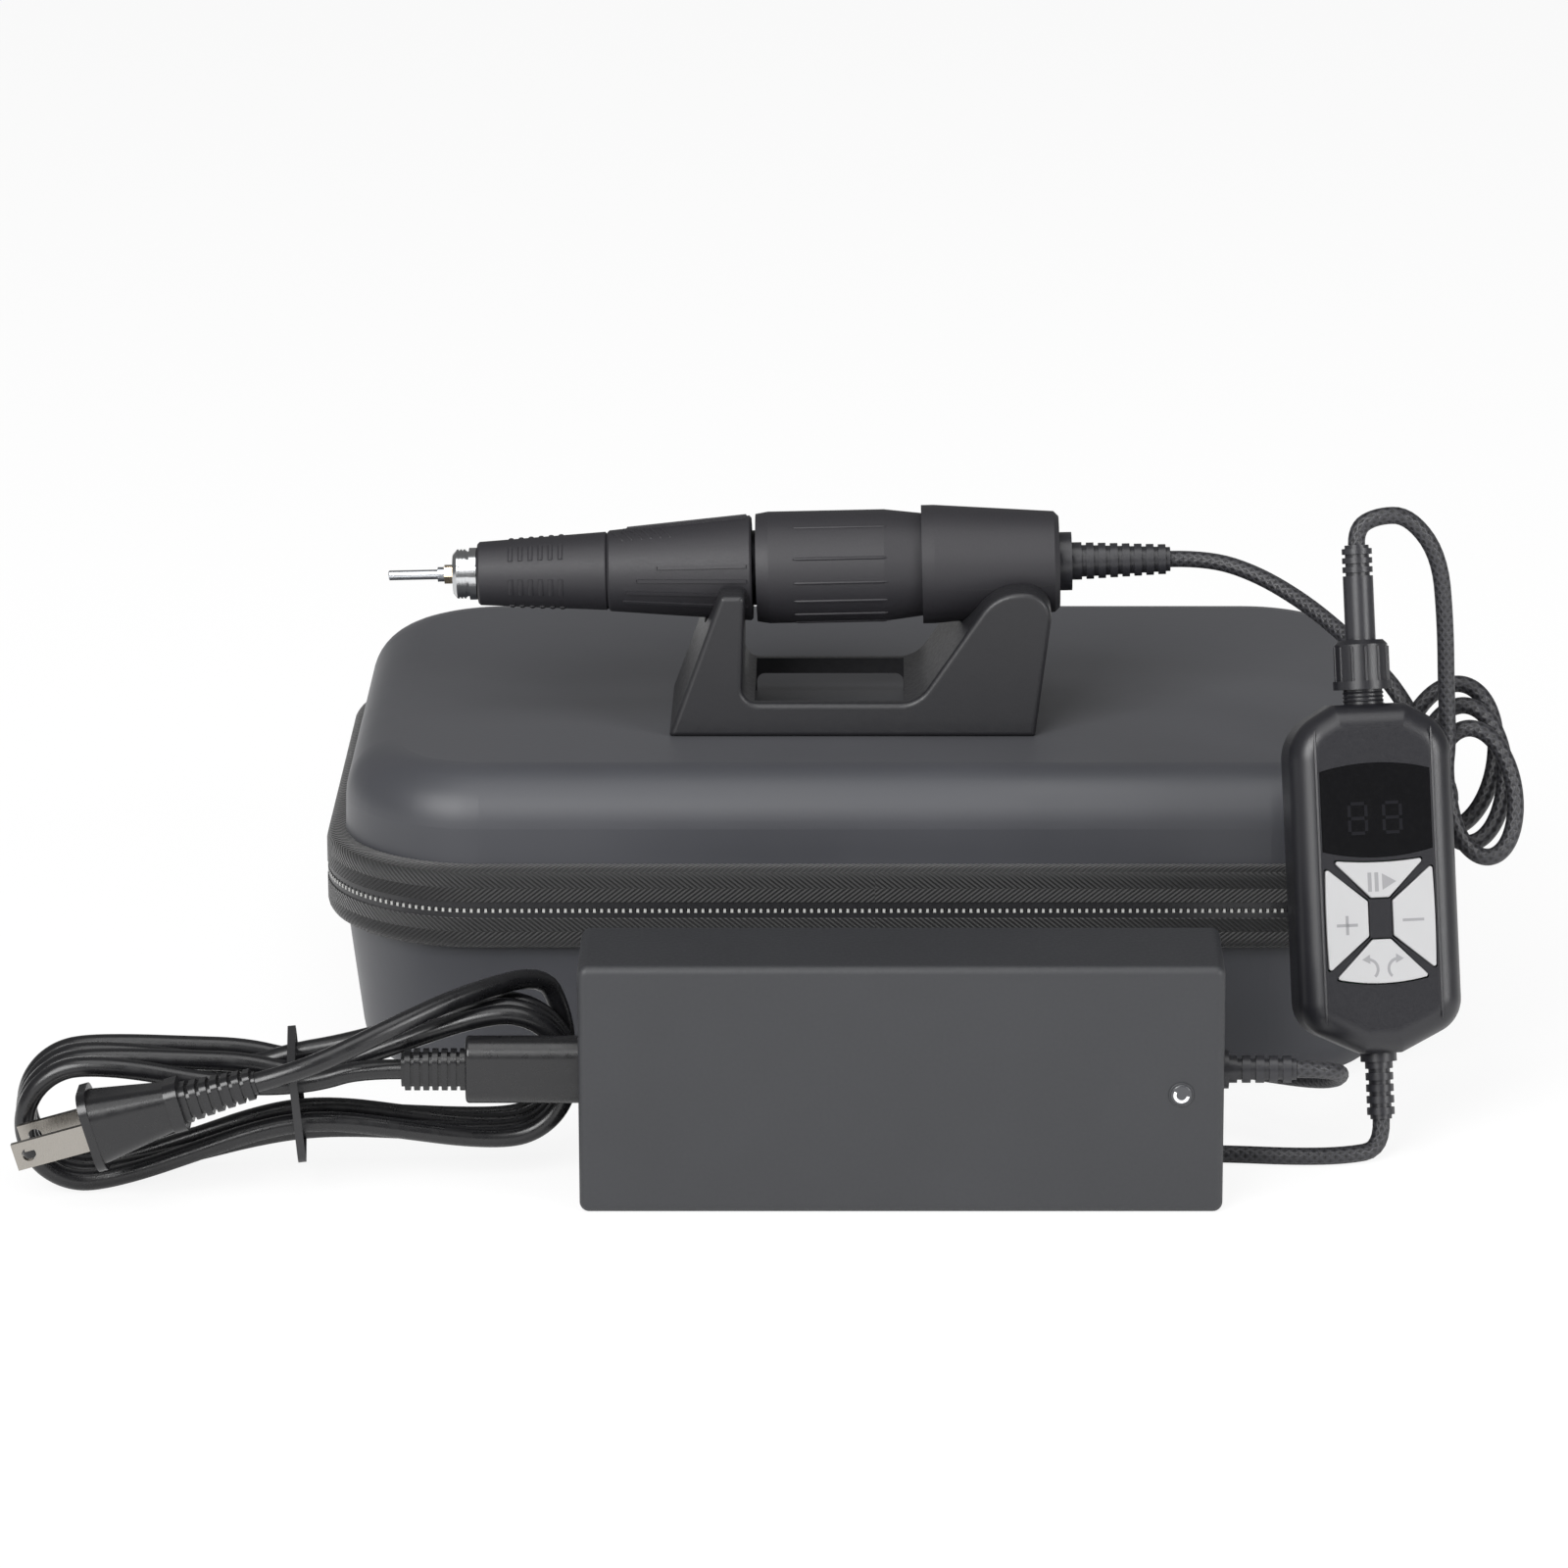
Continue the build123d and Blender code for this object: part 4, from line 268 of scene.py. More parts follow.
@dataclass(frozen=True)
class Braid:
    """Braided polyester sleeve: strands cross in diamonds, read from the cord's own UV map in metres; the
    grooves between strands get a near-black painted shade.
    """

    name: str = "braided_polyester"
    colour: str = "#2b2b2f"
    groove_shade: str = "#050506"
    strand_mm: float = 1.4

    def build(self) -> bpy.types.Material:
        """Make the material."""
        material, tree = blank_material(self.name)
        place = add_node(tree, "ShaderNodeTexCoord").outputs["UV"]
        weaves = []
        for turn in (38.0, -38.0):
            settings = {"Rotation": (0.0, 0.0, math.radians(turn))}
            angled = add_node(tree, "ShaderNodeMapping", settings, {"Vector": place})
            scale = math.pi / 10 / (self.strand_mm * MM)
            settings = {"bands_direction": "Y", "Scale": scale, "Distortion": 0.0}
            wave = add_node(tree, "ShaderNodeTexWave", settings, {"Vector": angled.outputs[0]})
            weaves.append(wave.outputs["Fac"])
        weave = add_node(tree, "ShaderNodeMath", {"operation": "MAXIMUM"}, {0: weaves[0], 1: weaves[1]})
        # Painted shade: the colour falls to near-black in the grooves between strands, where the weave is
        # lowest.
        tone = mixed_tone(tree, linear(self.groove_shade), linear(self.colour), weave.outputs[0])
        relief = raised(tree, weave.outputs[0], 0.7, 0.16)
        settings = {"Roughness": 0.45, "IOR": 1.5, "Sheen Weight": 0.05, "Sheen Roughness": 0.4}
        finish_surface(tree, settings, {"Base Color": tone, "Normal": relief})
        return material


@dataclass(frozen=True)
class Herringbone:
    """Woven zip tape: chevron ribs along the tape, read from the tape's own UV map in metres; the gaps between
    ribs get a near-black painted shade.
    """

    name: str = "herringbone_tape"
    thread: str = "#222223"
    gap_shade: str = "#040405"
    rib_mm: float = 1.4
    row_mm: float = 4.0
    slope: float = 1.25

    def build(self) -> bpy.types.Material:
        """Make the material."""
        material, tree = blank_material(self.name)
        place = add_node(tree, "ShaderNodeTexCoord").outputs["UV"]
        split = add_node(tree, "ShaderNodeSeparateXYZ", links={"Vector": place})
        fold = add_node(
            tree, "ShaderNodeMath", {"operation": "PINGPONG", 1: self.row_mm * MM}, {0: split.outputs["Y"]}
        )
        slant = add_node(tree, "ShaderNodeMath", {"operation": "MULTIPLY", 1: self.slope}, {0: fold.outputs[0]})
        sides = {0: split.outputs["X"], 1: slant.outputs[0]}
        lean = add_node(tree, "ShaderNodeMath", {"operation": "ADD"}, sides)
        settings = {"operation": "PINGPONG", 1: self.rib_mm * MM / 2}
        rib = add_node(tree, "ShaderNodeMath", settings, {0: lean.outputs[0]})
        height = add_node(
            tree,
            "ShaderNodeMapRange",
            {"interpolation_type": "SMOOTHSTEP", "From Min": 0.0, "From Max": self.rib_mm * MM / 2},
            {"Value": rib.outputs[0]},
        )
        # Painted shade: the colour falls to near-black between the ribs, where the weave is lowest.
        tone = mixed_tone(tree, linear(self.gap_shade), linear(self.thread), height.outputs[0])
        relief = raised(tree, height.outputs[0], 0.9, 0.25)
        settings = {"Roughness": 0.62, "IOR": 1.5, "Sheen Weight": 0.2, "Sheen Roughness": 0.4}
        finish_surface(tree, settings, {"Base Color": tone, "Normal": relief})
        return material


@dataclass(frozen=True)
class Glow:
    """A lens or segment that may shine: smooth, with little mirror, so that only its own colour shows."""

    name: str
    colour: str
    strength: float

    def build(self) -> bpy.types.Material:
        """Make the material."""
        material, tree = blank_material(self.name)
        place = add_node(tree, "ShaderNodeTexCoord").outputs["Object"]
        grain = add_node(tree, "ShaderNodeTexNoise", {"Scale": 900.0}, {"Vector": place})
        gloss = spread_gloss(tree, grain.outputs["Fac"], (0.25, 0.4), (0.0, 1.0))
        finish_surface(
            tree,
            {
                "Base Color": linear(self.colour),
                "Emission Color": linear(self.colour),
                "Emission Strength": self.strength,
                "Specular IOR Level": 0.1,
            },
            {"Roughness": gloss},
        )
        return material


def new_piece(name: str, mesh: bpy.types.Mesh, material: bpy.types.Material, body: Body) -> bpy.types.Object:
    """Put a mesh into the scene as a piece that rides on a body.

    Args:
        name: The piece's name.
        mesh: Its mesh, in place.
        material: What it is made of.
        body: The body that it moves with.

    Returns:
        The object.
    """
    obj = bpy.data.objects.new(name, mesh)
    bpy.context.scene.collection.objects.link(obj)
    mesh.materials.clear()
    mesh.materials.append(material)
    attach(obj, body.value)
    LOG.info("%s rides on %s", name, body.value)
    return obj


def mesh_from(shape: bmesh.types.BMesh, name: str, sharp: float = math.radians(40)) -> bpy.types.Mesh:
    """Close a bmesh into a mesh, smooth but for its sharp edges.

    Args:
        shape: The bmesh, which is freed.
        name: The mesh's name.
        sharp: The least angle of a sharp edge.

    Returns:
        The mesh.
    """
    mesh = bpy.data.meshes.new(name)
    for face in shape.faces:
        face.smooth = True
    for edge in shape.edges:
        edge.smooth = edge.calc_face_angle(0.0) < sharp
    shape.to_mesh(mesh)
    shape.free()
    return mesh


@dataclass(frozen=True)
class Axes:
    """The origin and the three directions of a sub-assembly, in millimetres."""

    origin: Vector
    right: Vector
    back: Vector
    top: Vector

    def matrix(self) -> Matrix:
        """Turn the sub-assembly's millimetres into the frame's metres."""
        turned = Matrix((self.right, self.back, self.top)).transposed().to_4x4()
        return Matrix.Scale(MM, 4) @ Matrix.Translation(self.origin) @ turned


class Relief:
    """Small raised forms, drawn in a sub-assembly's own millimetres."""

    def __init__(self) -> None:
        """Start with nothing."""
        self.shape = bmesh.new()

    def rod(self, start: Vector, end: Vector, radius: float, taper: float) -> None:
        """Add a rod whose ends are rounded off.

        Args:
            start: One end.
            end: The other end.
            radius: Half its thickness.
            taper: How long each rounded end is.
        """
        verts = bmesh.ops.create_uvsphere(self.shape, u_segments=8, v_segments=7, radius=1.0)["verts"]
        half = (end - start).length / 2
        for vertex in verts:
            reach = half - taper * (1 - abs(vertex.co.z))
            vertex.co = (vertex.co.x * radius, vertex.co.y * radius, math.copysign(reach, vertex.co.z))
        turned = (end - start).to_track_quat("Z", "Y").to_matrix().to_4x4()
        bmesh.ops.transform(self.shape, matrix=Matrix.Translation((start + end) / 2) @ turned, verts=verts)

    def block(self, centre: Vector, size: tuple[float, float, float], turn: float = 0.0) -> None:
        """Add a block.

        Args:
            centre: Its middle.
            size: Its three sides.
            turn: Its turn about the third direction, in radians.
        """
        turned = Matrix.Rotation(turn, 4, "Z") @ Matrix.Diagonal((*size, 1.0))
        bmesh.ops.create_cube(self.shape, size=1.0, matrix=Matrix.Translation(centre) @ turned)

    def hoop(
        self, centre: Vector, axis: Vector, out: Vector, section: tuple[float, float], sweep: float, steps: int
    ) -> None:
        """Add a hoop, or a part of one, with a rounded section.

        Args:
            centre: The hoop's middle.
            axis: The unit direction that it goes round.
            out: From the middle to the section at the start.
            section: Half the section's size along the axis and outwards.
            sweep: How far it goes round, in radians.
            steps: How many straight pieces it has.
        """
        outward = out.normalized()
        turned = Matrix((axis, outward, axis.cross(outward))).transposed().to_4x4()
        sized = Matrix.Diagonal((section[0], section[1], 1.0, 1.0))
        placed = Matrix.Translation(centre + out) @ turned @ sized
        ring = bmesh.ops.create_circle(self.shape, segments=8, radius=1.0, matrix=placed)["verts"]
        edges = list({edge for vertex in ring for edge in vertex.link_edges})
        whole = sweep >= 2 * math.pi
        parts = list(ring) + edges
        bmesh.ops.spin(
            self.shape, geom=parts, cent=centre, axis=axis, angle=sweep, steps=steps, use_merge=whole
        )
        if not whole:
            open_edges = [edge for edge in self.shape.edges if edge.is_boundary]
            bmesh.ops.holes_fill(self.shape, edges=open_edges, sides=0)

    def wedge(self, centre: Vector, radius: float, height: float, turn: float) -> None:
        """Add a flat triangle.

        Args:
            centre: Its middle.
            radius: From its middle to a corner.
            height: How thick it is.
            turn: The direction of its first corner, in radians.
        """
        placed = Matrix.Translation(centre) @ Matrix.Rotation(turn - math.pi / 2, 4, "Z")
        bmesh.ops.create_cone(
            self.shape, cap_ends=True, segments=3, radius1=radius, radius2=radius, depth=height, matrix=placed
        )

    def finish(self, name: str, axes: Axes, material: bpy.types.Material, body: Body, slot: str) -> None:
        """Put the forms into the scene as one piece.

        Args:
            name: The piece's name.
            axes: The sub-assembly's place.
            material: What the piece is made of.
            body: The body that it moves with.
            slot: The material slot that the piece belongs to; not used.
        """
        bmesh.ops.recalc_face_normals(self.shape, faces=self.shape.faces)
        self.shape.transform(axes.matrix())
        new_piece(name, mesh_from(self.shape, name), material, body)


@dataclass
class ZipBand:
    """The two woven tapes round the case, and the teeth between them."""

    length: float = 262.0
    depth: float = 175.0
    corner: float = 38.0
    zip_line: float = 47.0
    tape: float = 10.0
    proud: float = 4.6
    welt: float = 3.0
    step_in: float = 3.1
    step_up: float = 8.0
    rim: float = 9.6
    hinge_half: float = 55.3
    pitch: float = 1.7
    columns: int = 240
    tooth: tuple[float, float, float] = (0.62, 1.5, 0.85)
    tooth_inset: float = 0.9
    tooth_rise: float = 0.2

    def girth(self) -> float:
        """The length all the way round the band."""
        return 2 * (self.length + self.depth - 4 * self.corner) + 2 * math.pi * self.corner

    def spot(self, around: float) -> tuple[Vector, float]:
        """A place on the band's outline.

        Args:
            around: The distance from the middle of the front, to the right.

        Returns:
            The place, and the outward direction as an angle in radians.
        """
        wide = self.length / 2 - self.corner
        deep = self.depth / 2 - self.corner
        arc = math.pi * self.corner / 2
        place = Vector((0.0, -self.depth / 2))
        heading = -math.pi / 2
        corners = ((wide, -deep), (wide, deep), (-wide, deep), (-wide, -deep))
        for straight, corner in zip((wide, 2 * deep, 2 * wide, 2 * deep), corners):
            outward = Vector((math.cos(heading), math.sin(heading)))
            along = Vector((-outward.y, outward.x))
            if around <= straight:
                return place + along * around, heading
            around -= straight
            if around <= arc:
                swing = heading + around / self.corner
                return Vector(corner) + Vector((math.cos(swing), math.sin(swing))) * self.corner, swing
            around -= arc
            place = Vector(corner) + along * self.corner
            heading += math.pi / 2
        return place + Vector((1.0, 0.0)) * around, -math.pi / 2

    def section(self, hinged: bool) -> list[tuple[float, float]]:
        """The tape's section, from the shell round the welt to the zip line and back.

        Args:
            hinged: Whether this is the folding strip at the back, which has no step for the teeth.

        Returns:
            Insets from the outline, and heights from the tape's outer rim.
        """
        turn = [math.radians(22.5 * i) for i in range(5)]
        welt = [(self.welt * (1 - math.sin(a)), self.welt * (1 - math.cos(a))) for a in turn]
        step = 0.0 if hinged else self.step_in
        return [(self.proud, 0.0), *welt, (0.0, self.step_up), (step, self.step_up), (step, self.rim),
                (self.proud, self.rim), (self.proud, 0.0)]

    def weave(self, side: int, material: bpy.types.Material) -> None:
        """Make one tape, with a UV map of real lengths for its weave.

        Args:
            side: Minus one for the case's tape, one for the lid's.
            material: The woven finish.
        """
        shape = bmesh.new()
        rows = len(self.section(False)) - 1
        bmesh.ops.create_grid(shape, x_segments=self.columns, y_segments=rows, size=0.5)
        grid = shape.loops.layers.uv.new("UVMap")
        reach = [0.0]
        for a, b in zip(self.section(False), self.section(False)[1:]):
            reach.append(reach[-1] + math.dist(a, b))
        for face in shape.faces:
            for loop in face.loops:
                column = round((loop.vert.co.x + 0.5) * self.columns)
                row = round((loop.vert.co.y + 0.5) * rows)
                loop[grid].uv = (column / self.columns * self.girth() * MM, reach[row] * MM)
        for vertex in shape.verts:
            column = round((vertex.co.x + 0.5) * self.columns)
            row = round((vertex.co.y + 0.5) * rows)
            place, heading = self.spot((column % self.columns) / self.columns * self.girth())
            hinged = place.y > 0 and abs(place.x) < self.hinge_half
            inset, height = self.section(hinged)[row]
            vertex.co = (
                (place.x - inset * math.cos(heading)) * MM,
                (place.y - inset * math.sin(heading)) * MM,
                (self.zip_line + side * (self.tape - height)) * MM,
            )
        bmesh.ops.remove_doubles(shape, verts=shape.verts, dist=0.001 * MM)
        bmesh.ops.recalc_face_normals(shape, faces=shape.faces)
        which = "lower" if side < 0 else "upper"
        name = f"woven_tape_{which}"
        piece = new_piece(name, mesh_from(shape, name), material, Body.CASE if side < 0 else Body.LID)
        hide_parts(f"zip_tape_{which}", f"hinge_strip_{which}")

    def teeth(self, side: int, material: bpy.types.Material) -> None:
        """Make one row of teeth, half a pitch away from the other.

        Args:
            side: Minus one for the case's row, one for the lid's.
            material: The teeth's finish.
        """
        relief = Relief()
        count = round(self.girth() / self.pitch)
        for number in range(count):
            place, heading = self.spot((number + 0.25 * (2 + side)) * self.girth() / count)
            if place.y > 0 and abs(place.x) < self.hinge_half + 0.5:
                continue
            centre = Vector((
                place.x - self.tooth_inset * math.cos(heading),
                place.y - self.tooth_inset * math.sin(heading),
                self.zip_line + side * self.tooth_rise,
            ))
            relief.block(centre, self.tooth, heading + math.pi / 2)
        axes = Axes(Vector(), Vector((1, 0, 0)), Vector((0, 1, 0)), Vector((0, 0, 1)))
        which = "lower" if side < 0 else "upper"
        relief.finish(f"zip_teeth_{which}", axes, material, Body.CASE if side < 0 else Body.LID, "zip_teeth")

    def build(self, weave: bpy.types.Material, bright: bpy.types.Material, dark: bpy.types.Material) -> None:
        """Make both tapes and both rows of teeth.

        Args:
            weave: The tapes' finish.
            bright: The lower row's finish: the same nylon, with its glint painted into the colour as a pale
                grey, a painted highlight.
            dark: The finish of the row above it.
        """
        for side, nylon in ((-1, bright), (1, dark)):
            self.weave(side, weave)
            self.teeth(side, nylon)


@dataclass
class HandpieceRelief:
    """The raised grips of the handpiece, by stations along its axis and angles from its top to the front."""

    tilt: float = math.radians(1.25)
    origin: tuple[float, float, float] = (0.0, -26.5, 114.6)
    grip_rows: tuple[float, ...] = (13.5, 73.5, 133.5, 193.5, 253.5, 313.5)
    grip_first: float = -87.1
    grip_pitch: float = 2.4
    grip_bars: int = 6
    grip_nose: float = 7.6
    grip_start: float = -95.0
    grip_slope: float = 1.8 / 30.5
    grip_arc: float = 28.0
    mark_angles: tuple[float, float] = (31.0, 9.0)
    mark_first: float = -61.6
    mark_pitch: float = 2.3
    marks: int = 6
    rib_radius: float = 13.32
    rib_angles: tuple[float, ...] = (
        31.5, 67.5, 92.5, 113.5, 133.5, 156.0, 180.0, 204.0, 226.5, 246.5, 267.5, 292.5, 328.5,
    )
    rib_span: tuple[float, float] = (-19.6, 3.0)
    seam_angles: tuple[float, float] = (104.0, 256.0)

    def axes(self) -> Axes:
        """The handpiece's place."""
        c, s = math.cos(self.tilt), math.sin(self.tilt)
        return Axes(Vector(self.origin), Vector((c, 0, s)), Vector((0, 1, 0)), Vector((-s, 0, c)))

    def spot(self, station: float, angle: float, radius: float) -> Vector:
        """A place by station, angle in degrees and radius."""
        swing = math.radians(angle)
        return Vector((station, -radius * math.sin(swing), radius * math.cos(swing)))

    def grip_radius(self, station: float) -> float:
        """The front grip's radius at a station."""
        return self.grip_nose + (station - self.grip_start) * self.grip_slope

    def build(self, grip: bpy.types.Material, seam: bpy.types.Material) -> None:
        """Make the grip's bars, the sleeve's marks, the housing's ribs and the cap's seams.

        Args:
            grip: The handpiece's own finish.
            seam: The dark line of a seam.
        """
        forward = Vector((1.0, 0.0, 0.0))
        bars = Relief()
        for row in self.grip_rows:
            for number in range(self.grip_bars):
                station = self.grip_first + number * self.grip_pitch
                start = self.spot(0.0, row + self.grip_arc / 2, self.grip_radius(station) + 0.02)
                middle = Vector((station, 0, 0))
                bars.hoop(middle, forward, start, (0.62, 0.28), math.radians(self.grip_arc), 7)
        bars.finish("front_grip_bars", self.axes(), grip, Body.CHUCK, "grip_plastic")
        marks = Relief()
        for number in range(self.marks):
            station = self.mark_first + number * self.mark_pitch
            radius = 9.75 + (station + 63.5) * 0.085
            first = self.spot(station + 1.6, self.mark_angles[0], radius)
            last = self.spot(station - 1.0, self.mark_angles[1], radius)
            marks.rod(first, last, 0.38, 0.5)
        marks.finish("sleeve_marks", self.axes(), grip, Body.CHUCK, "grip_plastic")
        ribs = Relief()
        for angle in self.rib_angles:
            first, last = (self.spot(station, angle, self.rib_radius) for station in self.rib_span)
            ribs.rod(first, last, 0.42, 1.4)
        ribs.finish("housing_ribs", self.axes(), grip, Body.HANDPIECE, "grip_plastic")
        seams = Relief()
        for angle in self.seam_angles:
            seams.rod(self.spot(12.6, angle, 14.2), self.spot(43.0, angle, 12.13), 0.09, 0.3)
        seams.finish("rear_cap_seams", self.axes(), seam, Body.HANDPIECE, "grip_plastic")


@dataclass
class ControllerRelief:
    """The printed signs, the dim digits, the face's ridges and the threads of the hand controller."""

    origin: tuple[float, float, float] = (0.114371 / MM, -0.111001 / MM, 0.064949 / MM)
    across: tuple[float, float, float] = (0.993576, 0.112518, 0.012163)
    upward: tuple[float, float, float] = (-0.04338, 0.27937, 0.95920)
    face: float = 10.8
    pad: float = 11.5
    pane: float = 10.9
    print_height: float = 0.06
    arrow_radius: float = 2.3
    digit: tuple[float, float] = (3.9, 6.8)
    digit_bar: float = 0.75
    digit_places: tuple[tuple[float, float], ...] = ((-4.3, 11.4), (3.7, 11.4))
    ridge_side: float = 13.5
    ridge_span: tuple[float, float] = (-38.0, 34.0)
    thread_places: tuple[float, ...] = (38.4, 39.3, 40.2)
    neck: float = 4.5

    def axes(self) -> Axes:
        """The controller's place: to the right, up its axis and out of its face."""
        across, upward = Vector(self.across), Vector(self.upward)
        return Axes(Vector(self.origin), across, upward, across.cross(upward))

    def bar(self, relief: Relief, x: float, y: float, size: tuple[float, float], turn: float = 0.0) -> None:
        """Add a printed bar to a button's sign."""
        relief.block(Vector((x, y, self.pad)), (*size, self.print_height), turn)

    def arrow(self, relief: Relief, x: float, y: float, start: float, sweep: float) -> None:
        """Add a curved arrow to a button's sign.

        Args:
            relief: The sign.
            x: Its middle, across.
            y: Its middle, up.
            start: The direction of its tail, in radians.
            sweep: How far it bends round, in radians; less than nothing goes clockwise.
        """
        out = Vector((math.cos(start), math.sin(start), 0.0)) * self.arrow_radius
        way = Vector((0.0, 0.0, math.copysign(1.0, sweep)))
        relief.hoop(Vector((x, y, self.pad)), way, out, (self.print_height / 2, 0.34), abs(sweep), 12)
        end = start + sweep
        tip = Vector((math.cos(end), math.sin(end), 0.0)) * self.arrow_radius + Vector((x, y, self.pad))
        relief.wedge(tip, 1.25, self.print_height, end + math.copysign(math.pi / 2, sweep))

    def signs(self, ink: bpy.types.Material) -> None:
        """Print the start and stop, faster, slower and direction signs.

        Args:
            ink: The printing ink.
        """
        top = Relief()
        self.bar(top, -2.3, -3.3, (0.9, 4.4))
        self.bar(top, -0.7, -3.3, (0.9, 4.4))
        top.wedge(Vector((1.7, -3.3, self.pad)), 2.2, self.print_height, 0.0)
        left = Relief()
        self.bar(left, -7.9, -13.0, (4.9, 0.7))
        self.bar(left, -7.9, -13.0, (0.7, 4.4))
        right = Relief()
        self.bar(right, 7.5, -12.3, (5.0, 0.65))
        bottom = Relief()
        self.arrow(bottom, -3.5, -23.3, math.radians(-48), math.radians(140))
        self.arrow(bottom, 3.6, -23.3, math.radians(228), math.radians(-140))
        parts = (("top", top, Body.BUTTON_TOP), ("left", left, Body.BUTTON_LEFT),
                 ("bottom", bottom, Body.BUTTON_BOTTOM), ("right", right, Body.BUTTON_RIGHT))
        for name, relief, body in parts:
            relief.finish(f"sign_{name}", self.axes(), ink, body, "button_grey")

    def digits(self, glow: bpy.types.Material) -> None:
        """Make the two dim seven-segment digits behind the pane's surface.

        Args:
            glow: The segments' finish.
        """
        relief = Relief()
        wide, high = self.digit
        for x, y in self.digit_places:
            for level in (-1, 0, 1):
                size = (wide - 1.1 * self.digit_bar, self.digit_bar, 0.03)
                relief.block(Vector((x, y + level * high / 2, self.pane)), size)
            for side in (-1, 1):
                for level in (-1, 1):
                    size = (self.digit_bar, high / 2 - 1.1 * self.digit_bar, 0.03)
                    relief.block(Vector((x + side * wide / 2, y + level * high / 4, self.pane)), size)
        relief.finish("display_digits", self.axes(), glow, Body.CASE, "screen")

    def build(self, ink: bpy.types.Material, glow: bpy.types.Material, gloss: bpy.types.Material) -> None:
        """Make all of the controller's relief.

        Args:
            ink: The signs' ink.
            glow: The digits' finish.
            gloss: The housing's own finish.
        """
        self.signs(ink)
        self.digits(glow)
        ridges = Relief()
        for side in (-1, 1):
            low = Vector((side * self.ridge_side, self.ridge_span[0] + 2.0, self.face - 0.12))
            high = Vector((side * self.ridge_side, self.ridge_span[1] - 2.0, self.face - 0.12))
            ridges.rod(low, high, 0.35, 7.0)
        ridges.finish("face_ridges", self.axes(), gloss, Body.CASE, "controller_gloss")
        threads = Relief()
        upward = Vector((0.0, 1.0, 0.0))
        for place in self.thread_places:
            out = Vector((self.neck, 0.0, 0.0))
            threads.hoop(Vector((0.0, place, 0.0)), upward, out, (0.25, 0.25), 2 * math.pi, 32)
        threads.finish("neck_threads", self.axes(), gloss, Body.CASE, "controller_gloss")


@dataclass
class AdapterRelief:
    """The rim round the adapter's lamp and, in it, a painted reflection: a near-white crescent that glows
    faintly.
    """

    lamp: tuple[float, float, float] = (69.0, -166.5, 28.4)
    rim: float = 2.6
    crescent: float = 1.5

    def build(self, rim: bpy.types.Material, glow: bpy.types.Material) -> None:
        """Make the rim and the painted reflection.

        Args:
            rim: The adapter's own finish.
            glow: The painted reflection's finish, a near-white that glows faintly.
        """
        axes = Axes(Vector(self.lamp), Vector((1, 0, 0)), Vector((0, 0, 1)), Vector((0, -1, 0)))
        outward = Vector((0.0, 0.0, 1.0))
        ring = Relief()
        ring.hoop(Vector(), outward, Vector((self.rim, 0.0, 0.0)), (0.35, 0.35), 2 * math.pi, 32)
        ring.finish("lamp_rim", axes, rim, Body.CASE, "adapter_plastic")
        # Painted reflection: a faintly glowing near-white crescent on the lens stands in for its highlight.
        arc = Relief()
        start = Vector((math.cos(math.radians(150)), math.sin(math.radians(150)), 0.0)) * self.crescent
        arc.hoop(Vector((0.0, 0.0, 0.6)), outward, start, (0.06, 0.32), math.radians(200), 16)
        arc.finish("lamp_painted_reflection", axes, glow, Body.CASE, "lamp")


